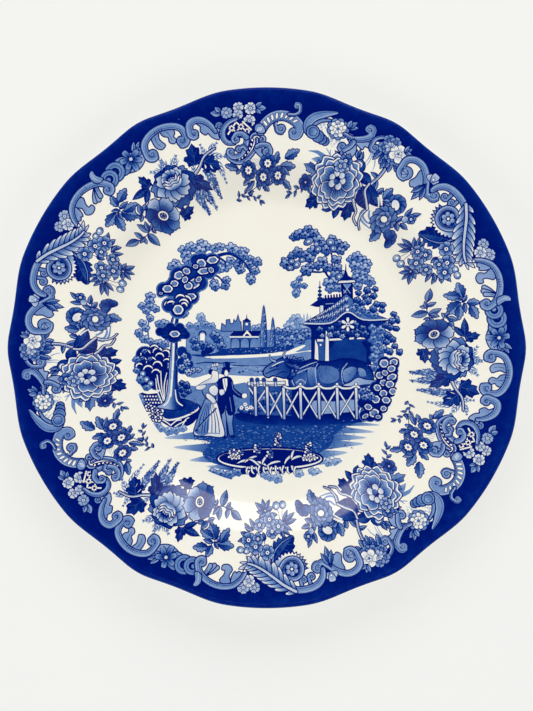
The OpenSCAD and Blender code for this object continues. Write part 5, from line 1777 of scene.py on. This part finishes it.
def seen_edges(verts, faces, top):
    """The edges between different shapes, without the points that a straight run can spare."""
    sides = np.concatenate([faces[:, [0, 1]], faces[:, [1, 2]], faces[:, [2, 0]]])
    owner = np.tile(top, 3)
    sides.sort(axis=1)
    order = np.lexsort((sides[:, 1], sides[:, 0]))
    sides, owner = sides[order], owner[order]
    same = (sides[:-1] == sides[1:]).all(axis=1)
    cut = np.nonzero(same & (owner[:-1] != owner[1:]))[0]
    links = {}
    for a, b in sides[cut]:
        links.setdefault(int(a), set()).add(int(b))
        links.setdefault(int(b), set()).add(int(a))
    for v in list(links):
        if len(links[v]) == 2:
            a, b = links[v]
            (ax, ay), (bx, by), (x, y) = verts[a], verts[b], verts[v]
            length = math.hypot(bx - ax, by - ay) or 1e-9
            if abs((bx - ax) * (y - ay) - (by - ay) * (x - ax)) / length < NEAR and b not in links[a]:
                links[a].discard(v)
                links[b].discard(v)
                links[a].add(b)
                links[b].add(a)
                del links[v]
    names = {v: i for i, v in enumerate(links)}
    return verts[list(links)], [(names[a], names[b]) for a in links for b in links[a] if a < b]


def film(name, shapes, domain, rests, place, unplace, height, strength=1.0):
    """Prints a list of shapes as a thin closed film that lies on a surface."""
    outlines = [np.array([NOWHERE])] + [np.array(place(stepped(list(shape[0])))) for shape in shapes]
    domain = np.array(domain)
    points, edges = [], []
    for outline in outlines[1:] + [domain]:
        n, start = len(outline), len(points)
        points += [tuple(p) for p in outline]
        edges += [(start + i, start + (i + 1) % n) for i in range(n)]
    verts, faces = split(points, edges)
    spots = verts[faces].mean(axis=1)
    top = top_shapes(outlines, spots)
    top[~inside(domain, spots[:, 0], spots[:, 1])] = -1
    points, edges = seen_edges(verts, faces, top)
    verts, faces = split([tuple(p) for p in points] + list(rests), edges)
    spots = verts[faces].mean(axis=1)
    top = top_shapes(outlines, spots)
    kept = inside(domain, spots[:, 0], spots[:, 1]) & (top > 0)
    tones = np.array([(0, 0)] + [shape[1:3] for shape in shapes], dtype=float)
    kept &= tones[top].max(axis=1) > NO_INK
    faces, top = faces[kept], top[kept]
    used, faces = np.unique(faces, return_inverse=True)
    faces = faces.reshape(-1, 3)
    verts = verts[used]
    # tone and engraved lines at each corner, worked out in the drawing's own plane
    flat = np.array(unplace(verts))[faces]
    axes = np.array([((0, 0), (1, 1))] + [shape[3] for shape in shapes], dtype=float)[top]
    along = axes[:, 1] - axes[:, 0]
    length = np.maximum(1e-6, np.hypot(along[:, 0], along[:, 1]))[:, None]
    off = flat - axes[:, None, 0]
    share = np.clip((off * along[:, None]).sum(axis=2) / length ** 2, 0, 1)
    tone = tones[top][:, :1] * (1 - share) + tones[top][:, 1:] * share
    across = (off[:, :, 0] * along[:, None, 1] - off[:, :, 1] * along[:, None, 0]) / length
    lines = np.array([0] + [shape[4] for shape in shapes], dtype=float)[top]
    ink = np.stack([tone * strength, across, np.repeat(lines[:, None], 3, axis=1), np.ones_like(tone)],
        axis=2)
    return pressed(name, verts, faces, ink.reshape(-1, 4), height)


def pressed(name, verts, faces, ink, height):
    """Lifts flat triangles onto a surface and thickens them into a closed film."""
    z = height(verts[:, 0], verts[:, 1])
    mesh = bpy.data.meshes.new(name)
    mesh.from_pydata([(x * MM, y * MM, h * MM) for (x, y), h in zip(verts, z + FILM_LIFT)], [],
        faces.tolist())
    mesh.attributes.new("ink", "FLOAT_COLOR", "CORNER")
    mesh.attributes["ink"].data.foreach_set("color", ink.ravel())
    bm = bmesh.new()
    bm.from_mesh(mesh)
    bmesh.ops.recalc_face_normals(bm, faces=bm.faces[:])
    if sum(face.normal.z for face in bm.faces) < 0:
        bmesh.ops.reverse_faces(bm, faces=bm.faces[:])
    bmesh.ops.solidify(bm, geom=bm.faces[:], thickness=(FILM_LIFT + FILM_SINK) * MM)
    for face in bm.faces:
        face.smooth = True
    bm.to_mesh(mesh)
    bm.free()
    corners = np.empty(len(mesh.loops), dtype=int)
    mesh.loops.foreach_get("vertex_index", corners)
    spots = np.empty(len(mesh.vertices) * 3)
    mesh.vertices.foreach_get("co", spots)
    x, y = (spots.reshape(-1, 3)[:, :2] / MM).T
    slope = [(height(x + STEP, y) - height(x - STEP, y)) / (2 * STEP),
        (height(x, y + STEP) - height(x, y - STEP)) / (2 * STEP)]
    up = np.stack([-slope[0], -slope[1], np.ones_like(x)], axis=1)
    up /= np.linalg.norm(up, axis=1)[:, None]
    flat = np.empty(len(mesh.polygons) * 3)
    mesh.polygons.foreach_get("normal", flat)
    flat = flat.reshape(-1, 3)
    sizes = np.empty(len(mesh.polygons), dtype=int)
    mesh.polygons.foreach_get("loop_total", sizes)
    normals = np.repeat(flat, sizes, axis=0)
    level = np.abs(normals[:, 2]) > LEVEL
    normals[level] = (up[corners] * np.sign(normals[:, 2:]))[level]
    mesh.normals_split_custom_set(normals.tolist())
    piece = bpy.data.objects.new(name, mesh)
    bpy.context.scene.collection.objects.link(piece)
    print(name, "printed:", sum(sizes - 2), "triangles")
    return piece


# %% [markdown]
# The border in three lengths
# The engraver's strip is printed three times. The lengths aren't quite equal, because the
# transferrer stretches the tissue to make the ends meet, and each print comes out a little
# stronger or weaker than the last.

# %% Printed border
BORDER_INNER = 70.0
SPRAY_TOP = 112.0
SPRAY_RISE = 0.065
OVERHANG = 60
EDGE_STEPS = 200
BORDER_LENGTHS = ((146.3, 22.0, 1.0), (22.0, -96.3, 0.96), (263.7, 146.3, 1.02))


def strip_to_plan(points, start, end):
    """Places points of the strip, given as run and radius, round the plate, sprays a little raised."""
    points = np.asarray(points, dtype=float)
    angle = np.radians(start + (end - start) * (points[:, 0] - STRIP_LOW) / STRIP_PERIOD)
    radius = points[:, 1] + SPRAY_RISE * np.maximum(0.0, SPRAY_TOP - points[:, 1])
    return np.stack([radius * np.cos(angle), radius * np.sin(angle)], axis=1)


def plan_to_strip(points, start, end):
    """The run and radius on the strip of places on the plate."""
    points = np.asarray(points, dtype=float)
    angle = np.degrees(np.arctan2(points[:, 1], points[:, 0]))
    turned = (start - angle + OVERHANG) % 360 - OVERHANG
    run = STRIP_LOW + STRIP_PERIOD * turned / (start - end)
    radius = np.hypot(points[:, 0], points[:, 1])
    lowered = (radius - SPRAY_RISE * SPRAY_TOP) / (1 - SPRAY_RISE)
    return np.stack([run, np.where(radius < SPRAY_TOP, lowered, radius)], axis=1)


def repeated(shapes):
    """The strip's shapes, with those that cross its ends shown again at the other end."""
    out = []
    for points, tone, tip, axis, lines in shapes:
        runs = [p[0] for p in points]
        for hop in (-STRIP_PERIOD, 0, STRIP_PERIOD):
            if max(runs) + hop > STRIP_LOW and min(runs) + hop < STRIP_LOW + STRIP_PERIOD:
                out.append(([(s + hop, r) for s, r in points], tone, tip, [(s + hop, r) for s, r in axis],
                    lines))
    return out


def sector(start, end):
    """Outline of the area that one length covers."""
    angles = np.linspace(start, end, EDGE_STEPS)
    far = [polar((0, 0), float(edge_r(a, BAND_W)), a) for a in angles]
    return far + [polar((0, 0), BORDER_INNER, a) for a in angles[::-1]]


def rest_points(start, end):
    """Extra points where the face curves, so that the film bends with it."""
    out = []
    for low, high, step in ((75.0, 84.0, 2.4), (84.6, 102.0, 1.4), (104.0, 132.0, 5.0)):
        for r in np.arange(low, high, step):
            count = int(math.radians(start - end) * r / step)
            out += [polar((0, 0), r, start + (end - start) * (i + 0.5) / count) for i in range(count)]
    return out


border_pieces = []
strip_shapes = repeated(border.shapes)
for k, (start, end, strength) in enumerate(BORDER_LENGTHS):
    border_pieces.append(film(f"border_ink_{k + 1}", strip_shapes, sector(start, end),
        rest_points(start, end), lambda points: strip_to_plan(points, start, end),
        lambda points: plan_to_strip(points, start, end), face_height, strength))

# %% [markdown]
# Picture and maker's mark
# The picture lies on the flat floor of the well, so its drawing is already in place. Under
# the foot sits a small wreath where a pottery would put its stamp. It is printed face up,
# and then turned over about the X axis.

# %% Printed picture
PICTURE_R = 72.0


def same(points):
    """Leaves a flat drawing where it is."""
    return np.asarray(points, dtype=float)


round_sheet = [polar((0, 0), PICTURE_R, 3 * i) for i in range(120)]
picture_piece = film("picture_ink", picture.shapes, round_sheet, [(0.0, 0.0)], same, same, face_height)

# %% Wreath under the foot
MARK_R = 10.0
mark = Sheet()
for side in (-1, 1):
    spine = [polar((0, 0), MARK_R * 0.72, -90 + side * (12 + 13 * i)) for i in range(12)]
    stroke(mark, spine, 0.5, 0.3, 0.9)
    for i, spot in enumerate(spine[1:]):
        outward = -90 + side * (25 + 13 * i)
        for lean, reach in ((40, 0.24), (-40, 0.2)):
            leaf(mark, spot, polar(spot, MARK_R * reach, outward + side * (60 + lean)), MARK_R * 0.13,
                "dark")
blossom(mark, (0, 0), MARK_R * 0.3, 6, (0.7, 0.3), (0.1, 0.9))
mark_sheet = [polar((0, 0), MARK_R + 1, 6 * i) for i in range(60)]
mark_piece = film("base_mark_ink", mark.shapes, mark_sheet, [(0.0, 0.0)], same, same,
    lambda x, y: np.full(np.shape(x), -ROOF_Z))
mark_piece.data.transform(Matrix.Rotation(math.pi, 4, "X"))

# %% [markdown]
# Finishes
# The glaze, the print and the clay could each be a flat colour, but a fired surface never is.
# The glaze shrinks into a faint orange peel and pools into low waves, and the print carries
# engraved lines and an uneven wipe of ink. Each of these is a small node group that gives
# only a colour or a value, and the shader itself stays in the material.

# %% Node helpers
GLAZE_ALBEDO = 0.94


def paint(red, green, blue, share=GLAZE_ALBEDO):
    """A colour given as screen values, as the shader wants it."""
    values = []
    for value in (red, green, blue):
        value /= 255
        values.append(share * (value / 12.92 if value <= 0.04045 else ((value + 0.055) / 1.055) ** 2.4))
    return (*values, 1.0)


def node(tree, kind, **settings):
    """Adds a node and sets its options and its unlinked inputs by name."""
    made = tree.nodes.new("ShaderNode" + kind)
    for name, value in settings.items():
        if hasattr(made, name):
            setattr(made, name, value)
        else:
            made.inputs[name.replace("_", " ")].default_value = value
    return made


def maths(tree, operation, a, b=0.5, clamp=False):
    """A math node on two inputs, each a socket or a number."""
    made = node(tree, "Math", operation=operation, use_clamp=clamp)
    for socket, value in zip(made.inputs, (a, b)):
        if isinstance(value, (int, float)):
            socket.default_value = value
        else:
            tree.links.new(value, socket)
    return made.outputs[0]


def noise(tree, scale, detail=2.0, roughness=0.5):
    """Noise over the piece's own coordinates; the scale is in lumps per metre."""
    place = node(tree, "TexCoord")
    made = node(tree, "TexNoise", Scale=scale, Detail=detail, Roughness=roughness)
    tree.links.new(place.outputs["Object"], made.inputs["Vector"])
    return made.outputs["Fac"]


def new_group(name, inputs, outputs):
    """An empty node group with its sockets; gives the tree and its two ends."""
    tree = bpy.data.node_groups.new(name, "ShaderNodeTree")
    for label, kind in inputs:
        tree.interface.new_socket(label, in_out="INPUT", socket_type=kind)
    for label, kind in outputs:
        tree.interface.new_socket(label, in_out="OUTPUT", socket_type=kind)
    return tree, tree.nodes.new("NodeGroupInput"), tree.nodes.new("NodeGroupOutput")


# %% The glaze's surface, as a shared group
WAVE_SCALE = 55.0
WAVE_DEPTH = 1.0
PEEL_SCALE = 700.0
PEEL_DEPTH = 0.05
RUB_SCALE = 30.0
RUB = 0.06
POLISH = 0.09
SKIN_OUTPUTS = [(label, "NodeSocketFloat") for label in ("Height", "Roughness")]
tree, _, end = new_group("glaze_skin", [], SKIN_OUTPUTS)
waves = maths(tree, "MULTIPLY", noise(tree, WAVE_SCALE, 2.0), WAVE_DEPTH)
peel = maths(tree, "MULTIPLY", noise(tree, PEEL_SCALE, 1.0), PEEL_DEPTH)
tree.links.new(maths(tree, "ADD", waves, peel), end.inputs["Height"])
rub = maths(tree, "MULTIPLY", noise(tree, RUB_SCALE, 4.0), RUB)
tree.links.new(maths(tree, "ADD", rub, POLISH), end.inputs["Roughness"])
glaze_skin = tree
print("group", tree.name, "has", len(tree.nodes), "nodes")

# %% The print's colour, as a shared group
INK_STEPS = (
    (0.0, (246, 244, 233)), (0.2, (172, 190, 216)), (0.44, (98, 134, 188)),
    (0.7, (22, 70, 148)), (0.88, (2, 34, 124)), (1.0, (0, 18, 108)))
HATCH_PITCH = 0.55
HATCH = 0.7
STIPPLE_SCALE = 2600.0
STIPPLE = 0.3
WIPE_SCALE = 240.0
WIPE = 0.22
PRINT_INPUTS = [(label, "NodeSocketFloat") for label in ("Tone", "Run", "Lines")]
tree, start, end = new_group("cobalt_print", PRINT_INPUTS, [("Colour", "NodeSocketColor")])
wave = maths(tree, "PINGPONG", maths(tree, "DIVIDE", start.outputs["Run"], HATCH_PITCH), 0.5)
hatch = maths(tree, "MULTIPLY", maths(tree, "SUBTRACT", wave, 0.25), HATCH)
hatch = maths(tree, "MULTIPLY", hatch, start.outputs["Lines"])
stipple = maths(tree, "MULTIPLY", maths(tree, "SUBTRACT", noise(tree, STIPPLE_SCALE, 1.0), 0.5), STIPPLE)
wipe = maths(tree, "MULTIPLY", maths(tree, "SUBTRACT", noise(tree, WIPE_SCALE, 3.0), 0.42), WIPE)
grain = maths(tree, "ADD", maths(tree, "ADD", stipple, wipe), hatch)
weight = maths(tree, "SQRT", start.outputs["Tone"])
toned = maths(tree, "ADD", start.outputs["Tone"], maths(tree, "MULTIPLY", grain, weight), clamp=True)
ramp = node(tree, "ValToRGB")
for spot, colour in INK_STEPS[1:-1]:
    ramp.color_ramp.elements.new(spot)
for stop, (spot, colour) in zip(ramp.color_ramp.elements, INK_STEPS):
    stop.position = spot
    stop.color = paint(*colour)
tree.links.new(toned, ramp.inputs["Fac"])
tree.links.new(ramp.outputs["Color"], end.inputs["Colour"])
cobalt_print = tree
print("group", tree.name, "has", len(tree.nodes), "nodes")

# %% Materials
BUMP_DEPTH = 0.0009
GRIT_DEPTH = 0.0002


def glazed(name):
    """A material with the shared glaze surface; gives it, its tree and its shader."""
    material = bpy.data.materials.new(name)
    material.use_nodes = True
    tree = material.node_tree
    shader = tree.nodes["Principled BSDF"]
    shader.inputs["IOR"].default_value = 1.5
    skin = node(tree, "Group", node_tree=glaze_skin)
    bump = node(tree, "Bump", Strength=0.5, Distance=BUMP_DEPTH)
    tree.links.new(skin.outputs["Height"], bump.inputs["Height"])
    tree.links.new(skin.outputs["Roughness"], shader.inputs["Roughness"])
    tree.links.new(bump.outputs["Normal"], shader.inputs["Normal"])
    return material, tree, shader


def cream_glaze(name, tint):
    """Clear glaze over cream clay, a touch deeper in colour where it pools."""
    material, tree, shader = glazed(name)
    mix = node(tree, "Mix", data_type="RGBA")
    tree.links.new(maths(tree, "POWER", noise(tree, 18.0, 3.0), 2.0), mix.inputs["Factor"])
    mix.inputs["A"].default_value = paint(*INK_STEPS[0][1])
    mix.inputs["B"].default_value = paint(*tint)
    tree.links.new(mix.outputs["Result"], shader.inputs["Base Color"])
    return material


def cobalt(name):
    """Cobalt under clear glaze, whose tone each piece carries as an attribute."""
    material, tree, shader = glazed(name)
    ink = node(tree, "Attribute", attribute_name="ink")
    parts = node(tree, "SeparateColor")
    tree.links.new(ink.outputs["Color"], parts.inputs["Color"])
    colour = node(tree, "Group", node_tree=cobalt_print)
    for source, target in (("Red", "Tone"), ("Green", "Run"), ("Blue", "Lines")):
        tree.links.new(parts.outputs[source], colour.inputs[target])
    tree.links.new(colour.outputs["Colour"], shader.inputs["Base Color"])
    return material


def bare_clay(name):
    """Dry fired clay: matt, with fine grit and faint specks."""
    material = bpy.data.materials.new(name)
    material.use_nodes = True
    tree = material.node_tree
    shader = tree.nodes["Principled BSDF"]
    shader.inputs["Roughness"].default_value = 0.9
    mix = node(tree, "Mix", data_type="RGBA")
    tree.links.new(noise(tree, 900.0, 4.0, 0.7), mix.inputs["Factor"])
    mix.inputs["A"].default_value = paint(214, 198, 172)
    mix.inputs["B"].default_value = paint(238, 228, 208)
    tree.links.new(mix.outputs["Result"], shader.inputs["Base Color"])
    bump = node(tree, "Bump", Strength=0.6, Distance=GRIT_DEPTH)
    tree.links.new(noise(tree, 2500.0, 3.0), bump.inputs["Height"])
    tree.links.new(bump.outputs["Normal"], shader.inputs["Normal"])
    return material


FINISHES = {
    "clay": bare_clay("dry_clay"),
    "glaze": cream_glaze("clear_glaze_on_cream", (247, 242, 222)),
    "edge": cobalt("banded_cobalt"),
    "border": cobalt("printed_cobalt")}
# The band's gloss is turned almost off; its lighter tone at the very edge is a painted highlight in its
# place.
FINISHES["edge"].node_tree.nodes["Principled BSDF"].inputs["Specular IOR Level"].default_value = 0.05
print("finishes:", ", ".join(FINISHES))

# %% Tone of the edge band
EDGE_DARK = 0.89
# Tone at the very edge: the blue breaking lighter where the glaze runs thin, and a painted highlight where
# the rounded lip catches the light.
EDGE_THIN_AND_LIT = 0.76
EDGE_FADE = 1.2
band_mesh = edge_piece.data
tone = band_mesh.attributes.new("ink", "FLOAT_COLOR", "POINT")
for vert, value in zip(band_mesh.vertices, tone.data):
    x, y, z = vert.co / MM
    to_edge = float(edge_r(math.degrees(math.atan2(y, x)))) - math.hypot(x, y)
    share = float(eased(1 - to_edge / EDGE_FADE))
    value.color = (EDGE_DARK + (EDGE_THIN_AND_LIT - EDGE_DARK) * share, 0, 0, 1)
print("edge band tones from", EDGE_THIN_AND_LIT, "to", EDGE_DARK)

# %% [markdown]
# Putting the plate together
# Each piece stands for the engineering solid that it shows, and all of them ride on the one
# body of the plate.

# %% Pieces, finishes and what they stand for
PIECES = [
    (clay_body, "clay", "biscuit", "biscuit_body"),
    (glaze_coat, "glaze", "clear_glaze", "main_glaze"),
    (base_coat, "glaze", "clear_glaze", "base_glaze"),
    (edge_piece, "edge", "edge_blue", "edge_band")]
for k, piece in enumerate(border_pieces):
    PIECES.append((piece, "border", "border_blue", f"border_print_{k + 1}"))
PIECES += [
    (picture_piece, "border", "picture_blue", "picture_print"),
    (mark_piece, "border", "mark_blue", "base_mark_print")]
for piece, finish, slot, stands_for in PIECES:
    piece.data.materials.clear()
    piece.data.materials.append(FINISHES[finish])
    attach(piece, "root")
    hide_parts(stands_for)
print(len(PIECES), "pieces ride on the plate")

# %% [markdown]
# The studio
# The plate lies on a pale table under soft light from all sides, strongest from beyond its
# top edge. The camera looks straight down, so the sky right above it is left dim: whatever
# is up there shows as a veil in the glaze over the deep blue.

# %% Table, lights, camera
CAMERA_HEIGHT = 0.75
VIEW_HEIGHT = 367.7
SENSOR = 36.0
VIEW_CENTRE = (-0.16, -4.0)
TABLE_GLOW = 0.7

bm = bmesh.new()
bmesh.ops.create_grid(bm, x_segments=24, y_segments=24, size=8.0)
table_mesh = bpy.data.meshes.new("table")
bm.to_mesh(table_mesh)
bm.free()
table = bpy.data.objects.new("table", table_mesh)
bpy.context.scene.collection.objects.link(table)
table_finish = bpy.data.materials.new("pale_table")
table_finish.use_nodes = True
tree = table_finish.node_tree
shader = tree.nodes["Principled BSDF"]
shader.inputs["Roughness"].default_value = 0.85
shader.inputs["Specular IOR Level"].default_value = 0.1
shader.inputs["Emission Strength"].default_value = TABLE_GLOW / (1 - TABLE_GLOW)
mix = node(tree, "Mix", data_type="RGBA")
tree.links.new(noise(tree, 6.0, 2.0), mix.inputs["Factor"])
mix.inputs["A"].default_value = paint(239, 240, 237, 1 - TABLE_GLOW)
mix.inputs["B"].default_value = paint(242, 242, 239, 1 - TABLE_GLOW)
tree.links.new(mix.outputs["Result"], shader.inputs["Base Color"])
tree.links.new(mix.outputs["Result"], shader.inputs["Emission Color"])
table.data.materials.append(table_finish)

world = bpy.data.worlds.new("studio")
world.use_nodes = True
bpy.context.scene.world = world
tree = world.node_tree
place = node(tree, "TexCoord")
apart = node(tree, "SeparateXYZ")
tree.links.new(place.outputs["Generated"], apart.inputs["Vector"])
sky = node(tree, "ValToRGB")
sky.color_ramp.elements[0].position = 0.35
sky.color_ramp.elements[0].color = (0.62, 0.62, 0.63, 1)
sky.color_ramp.elements[1].position = 0.8
sky.color_ramp.elements[1].color = (0.004, 0.004, 0.004, 1)
tree.links.new(apart.outputs["Z"], sky.inputs["Fac"])
tree.links.new(sky.outputs["Color"], tree.nodes["Background"].inputs["Color"])


def softbox(name, azimuth, elevation, distance, size, power, shows=True):
    """A square soft light that faces the plate; a fill light need not show in the glaze."""
    light = bpy.data.lights.new(name, "AREA")
    light.shape = "RECTANGLE"
    light.size, light.size_y = size
    light.energy = power
    lamp = bpy.data.objects.new(name, light)
    a, e = math.radians(azimuth), math.radians(elevation)
    lamp.location = (distance * math.cos(e) * math.cos(a), distance * math.cos(e) * math.sin(a),
        distance * math.sin(e))
    lamp.rotation_euler = Vector(lamp.location).to_track_quat("Z", "Y").to_euler()
    lamp.visible_glossy = shows
    bpy.context.scene.collection.objects.link(lamp)


softbox("key_light", 90, 38, 1.8, (1.8, 1.0), 24.0)
softbox("left_light", 200, 42, 1.8, (1.2, 0.9), 9.0, False)
softbox("right_light", -20, 42, 1.8, (1.2, 0.9), 9.0, False)
softbox("near_light", 270, 45, 1.8, (1.4, 0.8), 7.0, False)

camera_data = bpy.data.cameras.new("camera")
camera_data.sensor_fit = "VERTICAL"
camera_data.sensor_height = SENSOR
camera_data.sensor_width = SENSOR
camera_data.lens = SENSOR * CAMERA_HEIGHT * 1000 / VIEW_HEIGHT
camera = bpy.data.objects.new("camera", camera_data)
camera.location = (VIEW_CENTRE[0] * MM, VIEW_CENTRE[1] * MM, PLATE_H * MM + CAMERA_HEIGHT)
bpy.context.scene.collection.objects.link(camera)
bpy.context.scene.camera = camera
bpy.context.scene.view_settings.view_transform = "Standard"
print("camera", round(camera_data.lens, 1), "mm lens at", round(camera.location.z, 3), "m")
